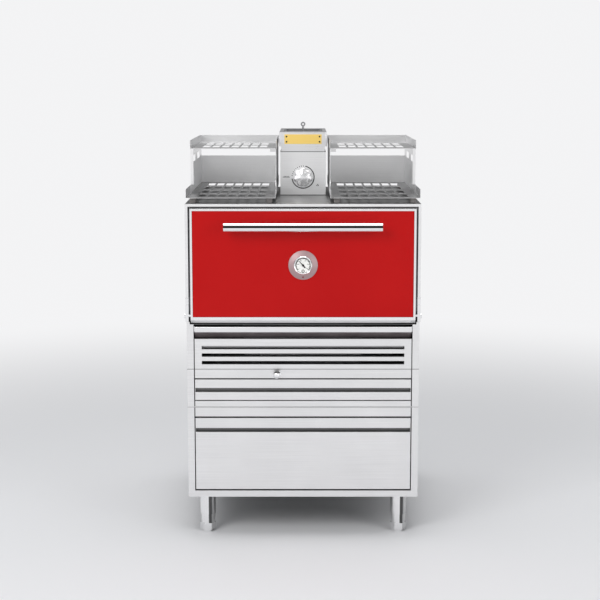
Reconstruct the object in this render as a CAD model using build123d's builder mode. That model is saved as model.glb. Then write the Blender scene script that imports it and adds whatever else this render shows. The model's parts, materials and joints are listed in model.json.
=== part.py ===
from build123d import *
from math import cos, pi, sin
import os

# Commercial charcoal oven on legs: a cabinet with two drawers, a front-loading oven with a drop-down
# door, a flue with a damper, and two perforated holding racks on top. Millimetres, +Z up, X to the right,
# +Y to the back. The origin is on the floor, below the middle of the whole oven. Depths are counted
# backwards from the front plane, which is the face of the cabinet's front frame.

# Sheet and clearances
sheet = 2.0
thin_sheet = 1.5
fit_gap = 0.3
slide_gap = 0.5
running_gap = 0.08
seam = 0.5

# Overall body
cabinet_width = 900.0
oven_overhang = 2.5
casing_depth = 925.0

# Legs and levelling feet
leg_height = 153.0
leg_inset_x = 72.0
leg_inset_y = 60.0
sleeve_diameter = 61.0
sleeve_length = 82.0
sleeve_cap = 3.0
stem_diameter = 55.0
stem_engagement = 56.0
foot_pad_height = 35.0
foot_pad_corners = 62.0
foot_pad_bevel = 9.0

# Front frame of the cabinet and the reveal round the panels set in it
frame_strip = 26.5
frame_return = 20.0
side_reveal = 3.75
panel_return = 20.0
panel_ear = 14.0
panel_ear_depth = 12.0

# Base module, from the bottom up
base_rail_height = 25.0
drawer_reveal = 6.0
storage_front_height = 286.0
base_top_rail_height = 38.0

# Upper module, from the bottom up
upper_rail_height = 24.0
ash_reveal = 3.6
ash_front_height = 81.4
draught_reveal = 5.0
draught_panel_height = 36.0
panel_seam = 0.6
louvre_panel_height = 118.4
ledge_height = 47.0
sill_space = 19.0

# Drawer fronts
drawer_front_depth = 23.5
grip_height = 16.0
storage_lip_height = 40.0
ash_lip_height = 33.7

# Storage drawer and its runners
storage_side_clearance = 23.5
storage_box_depth = 740.0
storage_box_height = 200.0
storage_box_rise = 10.0
runner_bar_width = 10.0
runner_bar_height = 24.0
runner_wall = 2.5
runner_lip_gap = 2.0
runner_bracket_length = 40.0

# Ash pan and the ledges that it hangs on
ash_side_clearance = 23.5
ash_pan_depth = 620.0
ash_pan_height = 72.0
ash_rim = 12.0
ash_rim_drop = 3.0
ash_ledge_overlap = 8.0
ash_ledge_leg = 18.0

# Draught control
draught_x = -101.0
draught_rod_diameter = 10.0
draught_ball_diameter = 31.0
draught_ball_gap = 6.5
draught_ball_socket = 10.0
draught_ball_bands = 10
draught_bush_diameter = 20.0
draught_bush_length = 15.0
shutter_width = 140.0
shutter_height = 62.0
shutter_drop = 8.0
shutter_thickness = 2.5
port_margin = 10.0

# Louvre panel
louvre_end_margin = 27.25
louvre_height = 13.4
louvre_pitch = 29.7
louvre_count = 3
louvre_top_margin = 27.3
louvre_blade_depth = 11.0
baffle_depth = 15.0
baffle_drop = 50.0

# Ledge below the door and the sill behind it
ledge_nose_height = 20.0
ledge_undercut = 24.0
ledge_depth = 40.0
ledge_nose_radius = 5.0
sill_front_depth = 8.0
sill_back_depth = 60.0
sill_height = 9.0

# Oven casing and door opening
side_strip = 11.0
top_strip = 9.5
door_gap = 7.5
door_drop = 5.0
door_height = 444.0
mouth_depth = 56.0
mouth_plate = 6.0
mouth_jamb = 26.0
mouth_rise = 76.0
mouth_head = 48.0

# Firebox inside the casing
firebox_wall = 6.0
firebox_side_wool = 76.5
firebox_roof_rise = 22.0
firebox_depth = 698.0
firebox_floor_rise = 45.5
insulation_gap = 0.5
insulation_back_margin = 8.0

# Charcoal grate, ash opening and chute
ash_opening_width = 500.0
ash_opening_length = 510.0
ash_opening_depth = 125.0
grate_overlap = 12.0
grate_thickness = 12.0
grate_slot_width = 18.0
grate_slot_length = 220.0
grate_columns = 12
grate_rows = 2
chute_wall = 2.0
chute_inset = 5.0
chute_taper = 20.0
chute_lift = 6.0

# Cooking grills and their rails
grill_depth = 600.0
grill_front_gap = 14.0
grill_side_gap = 12.0
grill_bar_width = 8.0
grill_bar_height = 8.0
grill_frame_bar = 10.0
grill_bar_count = 22
rail_levels = 4
rail_pitch = 62.0
rail_first_rise = 98.0
rail_ledge = 22.0
rail_sheet = 3.0
lower_grill_level = 0
upper_grill_level = 2

# Door
trim_width = 8.0
trim_top_width = 9.0
trim_bottom_height = 24.0
trim_bevel = 13.0
trim_depth = 40.0
trim_sheet = 2.5
trim_round = 3.0
enamel_proud = 1.5
enamel_depth = 9.5
enamel_round = 4.0
door_fill_margin = 24.0
door_fill_front = 10.0
liner_plate = 2.0
plug_depth = 12.0
plug_inset = 16.0
plug_round = 12.0
gasket_width = 14.0
gasket_inset = 2.0
gasket_corner = 18.0

# Hinge
pivot_depth = 16.0
pivot_rise = 27.0
pivot_diameter = 12.0
pivot_socket = 22.0
pivot_head_diameter = 19.0
pivot_head_height = 4.0
hinge_block_size = 26.0
bracket_proud = 1.7
bracket_height = 67.0
bracket_tail = 26.0
bracket_tail_setback = 3.0
bracket_depth = 42.0

# Door handle
handle_diameter = 34.0
handle_end_inset = 132.0
handle_standoff = 55.0
handle_rise = 377.0
handle_wall = 2.0
handle_post_diameter = 20.0
handle_post_setback = 47.0
handle_post_inset = 6.0

# Door thermometer
gauge_rise = 227.0
gauge_flange_diameter = 113.0
gauge_flange_rim = 3.0
gauge_flange_height = 9.0
gauge_ring_diameter = 71.0
gauge_ring_bore = 62.0
gauge_ring_height = 14.0
gauge_can_diameter = 58.0
gauge_can_depth = 16.0
gauge_dial_diameter = 60.0
gauge_dial_thickness = 1.0
gauge_dial_recess = 6.0
gauge_glass_thickness = 2.0
gauge_glass_recess = 1.5
gauge_probe_diameter = 8.0
gauge_probe_length = 84.0
needle_length = 23.0
needle_tail = 12.0
needle_width = 2.2
needle_thickness = 0.8
needle_hub = 3.4
needle_pin = 1.2
needle_lift = 1.2
needle_angle = 42.0
gauge_vent = 6.0

# Flue
flue_width = 186.0
flue_height = 180.0
flue_front_depth = 433.0
flue_depth = 470.0
flue_neck_side = 23.0
flue_neck_setback = 47.0
flue_neck_length = 260.0
flue_collar_height = 20.0
flue_collar_inset = 4.0
cap_overhang = 3.5
cap_height = 58.0
cap_round = 4.0
cap_wall = 3.0
cap_rim_side = 21.5
cap_rim_front = 100.5
cap_rim_back = 136.5

# Damper in the flue
damper_rise = 75.0
damper_shaft_diameter = 12.0
damper_flap_side = 23.0
damper_flap_thickness = 3.0
damper_flap_margin = 6.0
damper_stop_overlap = 4.0
damper_stop_sheet = 2.0
damper_dial_diameter = 96.0
damper_dial_thickness = 1.5
knob_diameter = 80.0
knob_depth = 30.0
knob_lobes = 7
knob_lobe_diameter = 25.0
knob_bevel = 3.0
knob_socket = 20.0

# Plate on the cap's front
plate_width = 152.0
plate_height = 39.0
plate_thickness = 2.0
plate_drop = 9.0

# Spark arrestor in the cap
arrestor_flange = 8.0
arrestor_depth = 32.0
arrestor_gap = 3.0
arrestor_slot_width = 10.0
arrestor_slot_length = 90.0
arrestor_slot_columns = 7
hook_rod = 8.0
hook_height = 36.0
hook_eye_diameter = 20.0
hook_eye_bore = 8.0

# Holding racks
rack_side_inset = 0.5
rack_flue_gap = 13.0
rack_lift = 19.0
rack_front_depth = 45.0
rack_back_depth = 919.0
rack_lip = 34.0
rack_side_front = 292.0
rack_side_height = 176.0
rack_back_height = 118.0
rack_toe = 60.0
rack_edge_flange = 12.0
rack_window_length = 148.0
rack_window_height = 27.0
rack_window_front = 398.0
rack_window_pitch = 256.0
rack_window_drop = 32.0
rack_upper_back = 895.0
rack_upper_lip = 33.0
rack_tab_width = 22.0
rack_tab_height = 12.0
rack_slot_width = 30.0
rack_slot_pitch = 39.0
rack_slot_columns = 7
rack_lower_rows = 4
rack_lower_slot = 140.0
rack_lower_row_pitch = 205.0
rack_upper_rows = 2
rack_upper_slot = 155.0
rack_upper_row_pitch = 230.0
rack_pad_width = 22.0
rack_pad_length = 60.0
rack_pad_inset = 14.0

# Heights worked out from the stacks above
base_bottom = leg_height
storage_bottom = base_bottom + base_rail_height + drawer_reveal
storage_top = storage_bottom + storage_front_height
base_top_rail_bottom = storage_top + drawer_reveal
base_top = base_top_rail_bottom + base_top_rail_height
upper_bottom = base_top
upper_rail_top = upper_bottom + upper_rail_height
ash_bottom = upper_rail_top + ash_reveal
ash_top = ash_bottom + ash_front_height
draught_bottom = ash_top + draught_reveal
draught_top = draught_bottom + draught_panel_height
louvre_bottom = draught_top + panel_seam
louvre_top = louvre_bottom + louvre_panel_height
ledge_bottom = louvre_top
ledge_top = ledge_bottom + ledge_height
upper_top = ledge_top + sill_space
oven_bottom = upper_top + seam
door_bottom = upper_top - door_drop
door_top = door_bottom + door_height
oven_top = door_top + door_gap + top_strip

# Places across and along
front_reach = handle_standoff + handle_diameter / 2
front_y = (front_reach - casing_depth) / 2
casing_middle = front_y + casing_depth / 2
cabinet_half = cabinet_width / 2
oven_half = cabinet_half + oven_overhang
oven_width = 2 * oven_half
frame_inner = cabinet_half - frame_strip
panel_half = frame_inner - side_reveal
door_half = oven_half - side_strip - door_gap
mouth_bottom = door_bottom + mouth_rise
mouth_top = door_top - mouth_head
firebox_bottom = oven_bottom + firebox_floor_rise
firebox_top = mouth_top + firebox_roof_rise
firebox_front = mouth_depth + mouth_plate
firebox_half = oven_half - firebox_side_wool
mouth_half = firebox_half - mouth_jamb
storage_box_width = 2 * (frame_inner - storage_side_clearance)
ash_pan_width = 2 * (frame_inner - ash_side_clearance - ash_rim)
louvre_width = 2 * (panel_half - louvre_end_margin)
handle_half_length = door_half - handle_end_inset
handle_post_x = handle_half_length - handle_post_setback
flue_half = flue_width / 2
flue_neck_width = 2 * (flue_half - flue_neck_side)
flue_neck_front = flue_front_depth + flue_neck_setback
damper_flap_width = 2 * (flue_half - damper_flap_side)
cap_half = flue_half + cap_overhang
cap_front_depth = flue_front_depth - cap_overhang
cap_back_depth = flue_front_depth + flue_depth + cap_overhang
cap_opening_width = 2 * (cap_half - cap_rim_side)
cap_opening_front = cap_front_depth + cap_rim_front
cap_opening_length = cap_back_depth - cap_rim_back - cap_opening_front
rack_outer_x = oven_half - rack_side_inset
rack_inner_x = flue_half + rack_flue_gap
pivot_z = door_bottom + pivot_rise
gauge_z = door_bottom + gauge_rise
handle_z = door_bottom + handle_rise
damper_z = oven_top + damper_rise
flue_top = oven_top + flue_height
collar_bottom = flue_top + fit_gap
cap_bottom = collar_bottom + flue_collar_height
cap_top = cap_bottom + cap_height


def back(depth):
    """The Y of a point that lies this far behind the front plane."""
    return front_y + depth


def front_plane(depth):
    """An upright drawing plane facing the front, with X across and Z up."""
    return Plane.XZ.offset(-back(depth))


def span(left, right, low, high, mode=Mode.ADD):
    """A rectangle between two corners on the sketch that is being drawn."""
    with Locations(((left + right) / 2, (low + high) / 2)):
        Rectangle(right - left, high - low, mode=mode)


def bent_sheet(points, thickness, side, bend=None):
    """The side view of a bent sheet: one face follows the points, the metal lies on the given side."""
    with BuildSketch(Plane.YZ) as section:
        with BuildLine():
            if bend:
                FilletPolyline(*points, radius=bend)
            else:
                Polyline(*points)
            offset(amount=thickness, side=side, kind=Kind.INTERSECTION)
        make_face()
    return section.sketch


def leg_spots():
    """Where the four legs stand: front left, front right, back left, back right."""
    x = cabinet_half - leg_inset_x
    front = back(leg_inset_y)
    rear = back(casing_depth - leg_inset_y)
    return [(-x, front), (x, front), (-x, rear), (x, rear)]


def levelling_foot(spot):
    """A hexagonal foot with a bevelled sole, on a stem that slides in the leg sleeve."""
    stem_top = base_bottom - sleeve_length + stem_engagement
    with BuildPart() as foot:
        with BuildSketch() as sole:
            with Locations(spot):
                RegularPolygon(foot_pad_corners / 2, 6)
        extrude(amount=foot_pad_height)
        chamfer(foot.faces().sort_by(Axis.Z)[0].edges(), foot_pad_bevel)
        with BuildSketch(Plane.XY.offset(foot_pad_height)):
            with Locations(spot):
                Circle(stem_diameter / 2)
        extrude(amount=stem_top - foot_pad_height)
    return foot.part


def module_shell(width, bottom, top):
    """A sheet box, open at the front, between two heights."""
    with BuildPart() as shell:
        with BuildSketch(Plane.XY.offset(bottom)):
            with Locations((0, casing_middle)):
                Rectangle(width, casing_depth)
        extrude(amount=top - bottom)
        offset(amount=-sheet, openings=shell.faces().sort_by(Axis.Y)[0])
    return shell.part


def inset_panel(low, high):
    """A folded panel set in the front frame, with ears at its ends that meet the frame's returns."""
    ear_reach = frame_inner - fit_gap
    with BuildPart() as panel:
        with BuildSketch(front_plane(0)):
            span(-panel_half, panel_half, low, high)
        extrude(amount=-panel_return)
        with BuildSketch(front_plane(sheet)):
            span(-panel_half, panel_half, low + sheet, high - sheet)
        extrude(amount=-panel_return, mode=Mode.SUBTRACT)
        with BuildSketch(front_plane(panel_ear_depth)):
            for side in (-1, 1):
                inner = side * (ear_reach - panel_ear)
                outer = side * ear_reach
                span(min(inner, outer), max(inner, outer), low, high)
        extrude(amount=-sheet)
    return panel.part


def drawer_front(low, high, lip_height):
    """A hollow drawer front whose grip is a groove that runs up behind a lip."""
    lip_low = high - lip_height
    groove_low = lip_low - grip_height
    rear = back(drawer_front_depth)
    grip_rear = rear - thin_sheet
    with BuildPart() as face:
        with BuildSketch(Plane.YZ) as side_view:
            span(front_y, rear, low, high)
            span(front_y + thin_sheet, grip_rear, low + thin_sheet, groove_low - thin_sheet, Mode.SUBTRACT)
            span(front_y, grip_rear, groove_low, lip_low, Mode.SUBTRACT)
            span(front_y + thin_sheet, grip_rear, lip_low, high - thin_sheet, Mode.SUBTRACT)
        extrude(amount=panel_half, both=True)
        with BuildSketch(Plane.YZ.offset(-panel_half)) as ends:
            span(front_y, rear, low, high)
        extrude(amount=thin_sheet)
        mirror(about=Plane.YZ)
    return face.part


def open_box(width, front, length, low, height):
    """A thin sheet box, open at the top, standing behind a drawer front."""
    with BuildPart() as box:
        with BuildSketch(Plane.XY.offset(low)):
            span(-width / 2, width / 2, back(front), back(front + length))
        extrude(amount=height)
        offset(amount=-thin_sheet, openings=box.faces().sort_by(Axis.Z)[-1])
    return box.part


def both_sides(solid):
    """A piece and its mirror image across the oven's middle."""
    return Compound(children=[solid, mirror(solid, about=Plane.YZ)])


def save(piece, name):
    """Writes one sub-part under its own name."""
    piece.label = name
    export_step(piece, "parts/" + name + ".step")


os.makedirs("parts", exist_ok=True)

# Leg sleeves: four tubes closed at the top, welded under the base
with BuildPart() as leg_sleeves:
    sleeve_bore = stem_diameter + 2 * fit_gap
    with BuildSketch(Plane.XY.offset(base_bottom - sleeve_length)):
        with Locations(*leg_spots()):
            Circle(sleeve_diameter / 2)
            Circle(sleeve_bore / 2, mode=Mode.SUBTRACT)
    extrude(amount=sleeve_length - sleeve_cap)
    with BuildSketch(Plane.XY.offset(base_bottom - sleeve_cap)):
        with Locations(*leg_spots()):
            Circle(sleeve_diameter / 2)
    extrude(amount=sleeve_cap)
save(leg_sleeves.part, "leg_sleeves")

foot_names = ["foot_front_left", "foot_front_right", "foot_back_left", "foot_back_right"]
for foot_name, foot_spot in zip(foot_names, leg_spots()):
    save(levelling_foot(foot_spot), foot_name)

# Base casing: sheet box with folded front strips at the sides and bottom
with BuildPart() as base_casing:
    roof = base_top - seam
    opening_low = base_bottom + base_rail_height
    add(module_shell(cabinet_width, base_bottom, roof))
    with BuildSketch(front_plane(0)):
        span(-cabinet_half, cabinet_half, base_bottom, roof)
        span(-frame_inner, frame_inner, opening_low, roof - sheet, Mode.SUBTRACT)
    extrude(amount=-sheet)
    with BuildSketch(front_plane(0)):
        span(-frame_inner - sheet, frame_inner + sheet, opening_low - sheet, roof - sheet)
        span(-frame_inner, frame_inner, opening_low, roof - sheet, Mode.SUBTRACT)
    extrude(amount=-frame_return)
save(base_casing.part, "base_casing")

save(inset_panel(base_top_rail_bottom, base_top - seam - sheet - fit_gap), "base_top_rail")

# Storage drawer: front, box and the pair of runners at each side
save(drawer_front(storage_bottom, storage_top, storage_lip_height), "storage_drawer_front")

storage_box_low = storage_bottom + storage_box_rise
save(
    open_box(storage_box_width, drawer_front_depth, storage_box_depth, storage_box_low, storage_box_height),
    "storage_drawer_box",
)

runner_x = storage_box_width / 2
runner_z = storage_box_low + storage_box_height / 2
runner_half = runner_bar_height / 2

with BuildPart() as moving_runner:
    with BuildSketch(front_plane(drawer_front_depth + fit_gap)):
        span(runner_x, runner_x + runner_bar_width, runner_z - runner_half, runner_z + runner_half)
    extrude(amount=-(storage_box_depth - 2 * fit_gap))
save(both_sides(moving_runner.part), "storage_runner_bars")

with BuildPart() as fixed_runner:
    channel_half = runner_half + slide_gap
    channel_inner = runner_x + runner_lip_gap
    channel_web = runner_x + runner_bar_width + slide_gap
    channel_outer = channel_web + runner_wall
    shell_half = channel_half + runner_wall
    runner_start = drawer_front_depth + frame_return
    runner_length = storage_box_depth - frame_return
    with BuildSketch(front_plane(runner_start)):
        span(channel_inner, channel_outer, runner_z - shell_half, runner_z + shell_half)
        span(channel_inner, channel_web, runner_z - channel_half, runner_z + channel_half, Mode.SUBTRACT)
    extrude(amount=-runner_length)
    wall_x = cabinet_half - sheet - fit_gap
    for start in (runner_start, runner_start + runner_length - runner_bracket_length):
        with BuildSketch(front_plane(start)):
            span(channel_outer, wall_x, runner_z - channel_half, runner_z + channel_half)
        extrude(amount=-runner_bracket_length)
save(both_sides(fixed_runner.part), "storage_runner_channels")

# Upper casing: carries the oven, holds the ash pan and lets air in; its roof steps down in front
with BuildPart() as upper_casing:
    sill_z = upper_top - sheet - sill_height
    sill_half = door_half + door_gap / 2
    add(module_shell(cabinet_width, upper_bottom, upper_top))
    with BuildSketch(front_plane(0)):
        span(-cabinet_half, cabinet_half, upper_bottom, upper_top)
        span(-frame_inner, frame_inner, upper_bottom + sheet, upper_top, Mode.SUBTRACT)
    extrude(amount=-sheet)
    with BuildSketch(front_plane(0)):
        span(-frame_inner - sheet, frame_inner + sheet, upper_bottom + sheet, upper_top)
        span(-frame_inner, frame_inner, upper_bottom + sheet, upper_top, Mode.SUBTRACT)
    extrude(amount=-frame_return)
    with BuildSketch(Plane.XY.offset(sill_z + sheet)):
        span(-sill_half, sill_half, front_y, back(sill_back_depth))
    extrude(amount=upper_top - sill_z, mode=Mode.SUBTRACT)
    step = [
        (back(sill_front_depth), sill_z),
        (back(sill_back_depth), sill_z),
        (back(sill_back_depth), upper_top),
    ]
    extrude(bent_sheet(step, sheet, Side.LEFT), amount=sill_half, both=True)
    hole_half = ash_opening_width / 2
    with BuildSketch(Plane.XY.offset(upper_top - sheet)):
        span(-hole_half, hole_half, back(ash_opening_depth), back(ash_opening_depth + ash_opening_length))
    extrude(amount=sheet, mode=Mode.SUBTRACT)
save(upper_casing.part, "upper_casing")

save(inset_panel(upper_bottom + sheet + fit_gap, upper_rail_top), "upper_bottom_rail")

# Ash drawer: front, pan with a turned-out rim, and the ledges that carry the rim
save(drawer_front(ash_bottom, ash_top, ash_lip_height), "ash_drawer_front")

rim_top = ash_top - ash_rim_drop
pan_half = ash_pan_width / 2
with BuildPart() as ash_pan:
    add(open_box(ash_pan_width, drawer_front_depth, ash_pan_depth, rim_top - ash_pan_height, ash_pan_height))
    with BuildSketch(Plane.XY.offset(rim_top - thin_sheet)):
        span(-pan_half - ash_rim, pan_half + ash_rim, back(drawer_front_depth + frame_return),
             back(drawer_front_depth + ash_pan_depth))
        span(-pan_half, pan_half, front_y, back(drawer_front_depth + ash_pan_depth), Mode.SUBTRACT)
    extrude(amount=thin_sheet)
save(ash_pan.part, "ash_pan")

with BuildPart() as ash_ledge:
    ledge_surface = rim_top - thin_sheet - fit_gap
    ledge_inner = pan_half + ash_rim - ash_ledge_overlap
    ledge_wall = cabinet_half - sheet - fit_gap
    with BuildSketch(front_plane(drawer_front_depth + fit_gap)):
        span(ledge_inner, ledge_wall, ledge_surface - sheet, ledge_surface)
        span(ledge_wall - sheet, ledge_wall, ledge_surface - ash_ledge_leg, ledge_surface)
    extrude(amount=-ash_pan_depth)
save(both_sides(ash_ledge.part), "ash_pan_ledges")

# Draught control: panel with a guide bush, pull rod with its shutter, ball knob
draught_z = (draught_bottom + draught_top) / 2
with BuildPart() as draught_panel:
    add(inset_panel(draught_bottom, draught_top))
    with BuildSketch(front_plane(0)):
        with Locations((draught_x, draught_z)):
            RegularPolygon(draught_bush_diameter / 2, 6)
    extrude(amount=-(sheet + draught_bush_length))
    with BuildSketch(front_plane(0)):
        with Locations((draught_x, draught_z)):
            Circle(draught_rod_diameter / 2 + running_gap)
    extrude(amount=-(sheet + draught_bush_length), mode=Mode.SUBTRACT)
save(draught_panel.part, "draught_panel")

chute_front = ash_opening_depth + chute_inset
ball_center_depth = -(draught_ball_gap + draught_ball_diameter / 2)
with BuildPart() as draught_knob:
    ball_center = (draught_x, back(ball_center_depth), draught_z)
    ball_radius = draught_ball_diameter / 2
    band_angles = [pi * band / draught_ball_bands for band in range(draught_ball_bands + 1)]
    with BuildSketch(Plane(origin=ball_center, z_dir=(0, 0, 1))):
        with BuildLine():
            Polyline(*[(ball_radius * sin(a), -ball_radius * cos(a)) for a in band_angles], close=True)
        make_face()
    revolve(axis=Axis(ball_center, (0, 1, 0)))
    socket_depth = -draught_ball_gap - draught_ball_socket
    with BuildSketch(front_plane(socket_depth)):
        with Locations((draught_x, draught_z)):
            Circle(draught_rod_diameter / 2 + running_gap)
    extrude(amount=-draught_ball_socket, mode=Mode.SUBTRACT)
save(draught_knob.part, "draught_knob")

shutter_low = draught_z - shutter_drop
with BuildPart() as draught_rod:
    shutter_face = chute_front - fit_gap - shutter_thickness
    with BuildSketch(front_plane(socket_depth)):
        with Locations((draught_x, draught_z)):
            Circle(draught_rod_diameter / 2)
    extrude(amount=-(shutter_face - socket_depth))
    shutter_half = shutter_width / 2
    with BuildSketch(front_plane(shutter_face)):
        span(draught_x - shutter_half, draught_x + shutter_half, shutter_low, shutter_low + shutter_height)
    extrude(amount=-shutter_thickness)
    with BuildSketch(front_plane(shutter_face)):
        with Locations((draught_x, draught_z)):
            Circle(draught_rod_diameter)
    extrude(amount=draught_rod_diameter)
save(draught_rod.part, "draught_rod")

# Louvre panel: three long slots, each with a blade folded in behind its lower edge
with BuildPart() as louvre_panel:
    add(inset_panel(louvre_bottom, louvre_top))
    slot_low = []
    for index in range(louvre_count):
        slot_low.append(louvre_top - louvre_top_margin - louvre_height - index * louvre_pitch)
    with BuildSketch(front_plane(0)):
        for low in slot_low:
            span(-louvre_width / 2, louvre_width / 2, low, low + louvre_height)
    extrude(amount=-sheet, mode=Mode.SUBTRACT)
    for low in slot_low:
        blade = [(back(sheet), low - sheet), (back(louvre_blade_depth), low + louvre_height / 4)]
        extrude(bent_sheet(blade, sheet, Side.LEFT), amount=louvre_width / 2, both=True)
save(louvre_panel.part, "louvre_panel")

with BuildPart() as louvre_baffle:
    baffle_top = louvre_top - sheet
    with BuildSketch(front_plane(baffle_depth)):
        span(-louvre_width / 2, louvre_width / 2, baffle_top - baffle_drop, baffle_top)
    extrude(amount=-sheet)
save(louvre_baffle.part, "louvre_baffle")

# Ledge below the door: rounded nose, undercut face, closed ends and ears to the frame
with BuildPart() as front_ledge:
    ledge_line = [
        (back(ledge_depth), ledge_top),
        (front_y, ledge_top),
        (front_y, ledge_top - ledge_nose_height),
        (back(ledge_undercut), ledge_bottom + fit_gap),
        (back(ledge_depth), ledge_bottom + fit_gap),
    ]
    extrude(bent_sheet(ledge_line, sheet, Side.LEFT, ledge_nose_radius), amount=panel_half, both=True)
    with BuildSketch(Plane.YZ.offset(-panel_half)):
        with BuildLine():
            FilletPolyline(*ledge_line, radius=ledge_nose_radius)
            Line(ledge_line[-1], ledge_line[0])
        make_face()
    extrude(amount=sheet)
    mirror(about=Plane.YZ)
    with BuildSketch(front_plane(panel_ear_depth)):
        for side in (-1, 1):
            inner = side * (panel_half - sheet)
            outer = side * (frame_inner - fit_gap)
            span(min(inner, outer), max(inner, outer), ledge_top - ledge_nose_height, ledge_top)
    extrude(amount=-sheet)
save(front_ledge.part, "front_ledge")

# Oven casing: sheet box with narrow front strips, notched for the hinge brackets
inner_strip = oven_half - side_strip
bracket_top = oven_bottom + bracket_height + bracket_tail
with BuildPart() as oven_casing:
    strip_low = oven_top - top_strip
    add(module_shell(oven_width, oven_bottom, oven_top))
    with BuildSketch(front_plane(0)):
        span(-oven_half, oven_half, oven_bottom, oven_top)
        span(-inner_strip, inner_strip, oven_bottom, strip_low, Mode.SUBTRACT)
    extrude(amount=-sheet)
    with BuildSketch(front_plane(0)):
        span(-inner_strip - sheet, inner_strip + sheet, oven_bottom, strip_low + sheet)
        span(-inner_strip, inner_strip, oven_bottom, strip_low, Mode.SUBTRACT)
    extrude(amount=-mouth_depth)
    with BuildSketch(Plane.XY.offset(oven_bottom)):
        span(-inner_strip, inner_strip, front_y, back(sill_back_depth))
        span(-hole_half, hole_half, back(ash_opening_depth), back(ash_opening_depth + ash_opening_length))
    extrude(amount=sheet, mode=Mode.SUBTRACT)
    with BuildSketch(front_plane(0)):
        for side in (-1, 1):
            notch_inner = side * (inner_strip - fit_gap)
            notch_outer = side * oven_half
            span(min(notch_inner, notch_outer), max(notch_inner, notch_outer), oven_bottom,
                 bracket_top + fit_gap)
    extrude(amount=-(bracket_depth + fit_gap), mode=Mode.SUBTRACT)
    neck_clear = flue_neck_width / 2 + sheet + fit_gap
    with BuildSketch(Plane.XY.offset(oven_top - sheet)):
        span(-neck_clear, neck_clear, back(flue_neck_front) - sheet - fit_gap,
             back(flue_neck_front + flue_neck_length) + sheet + fit_gap)
    extrude(amount=sheet, mode=Mode.SUBTRACT)
save(oven_casing.part, "oven_casing")

# Mouth frame: the plate round the oven's mouth that the door closes on
with BuildPart() as mouth_frame:
    plate_reach = oven_half - sheet - fit_gap
    with BuildSketch(front_plane(mouth_depth + fit_gap)):
        span(-plate_reach, plate_reach, oven_bottom + sheet + fit_gap, oven_top - sheet - fit_gap)
        span(-mouth_half, mouth_half, mouth_bottom, mouth_top, Mode.SUBTRACT)
    extrude(amount=-(mouth_plate - fit_gap))
    with BuildSketch(front_plane(mouth_depth + fit_gap)):
        span(-plate_reach, plate_reach, oven_bottom, oven_bottom + sill_height)
    extrude(amount=-(mouth_plate - fit_gap), mode=Mode.SUBTRACT)
save(mouth_frame.part, "mouth_frame")

# Firebox: welded steel chamber, open at the mouth, to the flue above and to the ash chute below
with BuildPart() as firebox:
    with BuildSketch(front_plane(firebox_front)):
        span(-firebox_half, firebox_half, firebox_bottom, firebox_top)
    extrude(amount=-firebox_depth)
    offset(amount=-firebox_wall, openings=firebox.faces().sort_by(Axis.Y)[0])
    with BuildSketch(Plane.XY.offset(firebox_bottom)):
        span(-hole_half, hole_half, back(ash_opening_depth), back(ash_opening_depth + ash_opening_length))
    extrude(amount=firebox_wall, mode=Mode.SUBTRACT)
    with BuildSketch(Plane.XY.offset(firebox_top - firebox_wall)):
        span(-flue_neck_width / 2, flue_neck_width / 2, back(flue_neck_front),
             back(flue_neck_front + flue_neck_length))
    extrude(amount=firebox_wall, mode=Mode.SUBTRACT)
save(firebox.part, "firebox")

# Insulation: fills the space between the firebox and the casing, open round the chute and the neck
with BuildPart() as oven_insulation:
    wool_half = oven_half - sheet - insulation_gap
    wool_back = casing_depth - sheet - insulation_back_margin
    with BuildSketch(front_plane(firebox_front + insulation_gap)):
        span(-wool_half, wool_half, oven_bottom + sheet + insulation_gap, oven_top - sheet - insulation_gap)
    extrude(amount=-(wool_back - firebox_front))
    clear_half = firebox_half + insulation_gap
    with BuildSketch(front_plane(firebox_front)):
        span(-clear_half, clear_half, firebox_bottom - insulation_gap, firebox_top + insulation_gap)
    extrude(amount=-(firebox_depth + insulation_gap), mode=Mode.SUBTRACT)
    with BuildSketch(Plane.XY.offset(oven_bottom)):
        span(-hole_half, hole_half, back(ash_opening_depth), back(ash_opening_depth + ash_opening_length))
    extrude(amount=firebox_floor_rise, mode=Mode.SUBTRACT)
    with BuildSketch(Plane.XY.offset(firebox_top)):
        span(-neck_clear, neck_clear, back(flue_neck_front) - sheet - fit_gap,
             back(flue_neck_front + flue_neck_length) + sheet + fit_gap)
    extrude(amount=oven_top - firebox_top, mode=Mode.SUBTRACT)
save(oven_insulation.part, "oven_insulation")

# Charcoal grate: cast slab with rows of slots, lying over the ash opening
firebox_floor = firebox_bottom + firebox_wall
with BuildPart() as charcoal_grate:
    grate_width = ash_opening_width + 2 * grate_overlap
    grate_length = ash_opening_length + 2 * grate_overlap
    grate_middle = back(ash_opening_depth + ash_opening_length / 2)
    with BuildSketch(Plane.XY.offset(firebox_floor)):
        with Locations((0, grate_middle)):
            Rectangle(grate_width, grate_length)
            with GridLocations(ash_opening_width / grate_columns, ash_opening_length / grate_rows,
                               grate_columns, grate_rows):
                Rectangle(grate_slot_width, grate_slot_length, mode=Mode.SUBTRACT)
    extrude(amount=grate_thickness)
save(charcoal_grate.part, "charcoal_grate")

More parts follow.
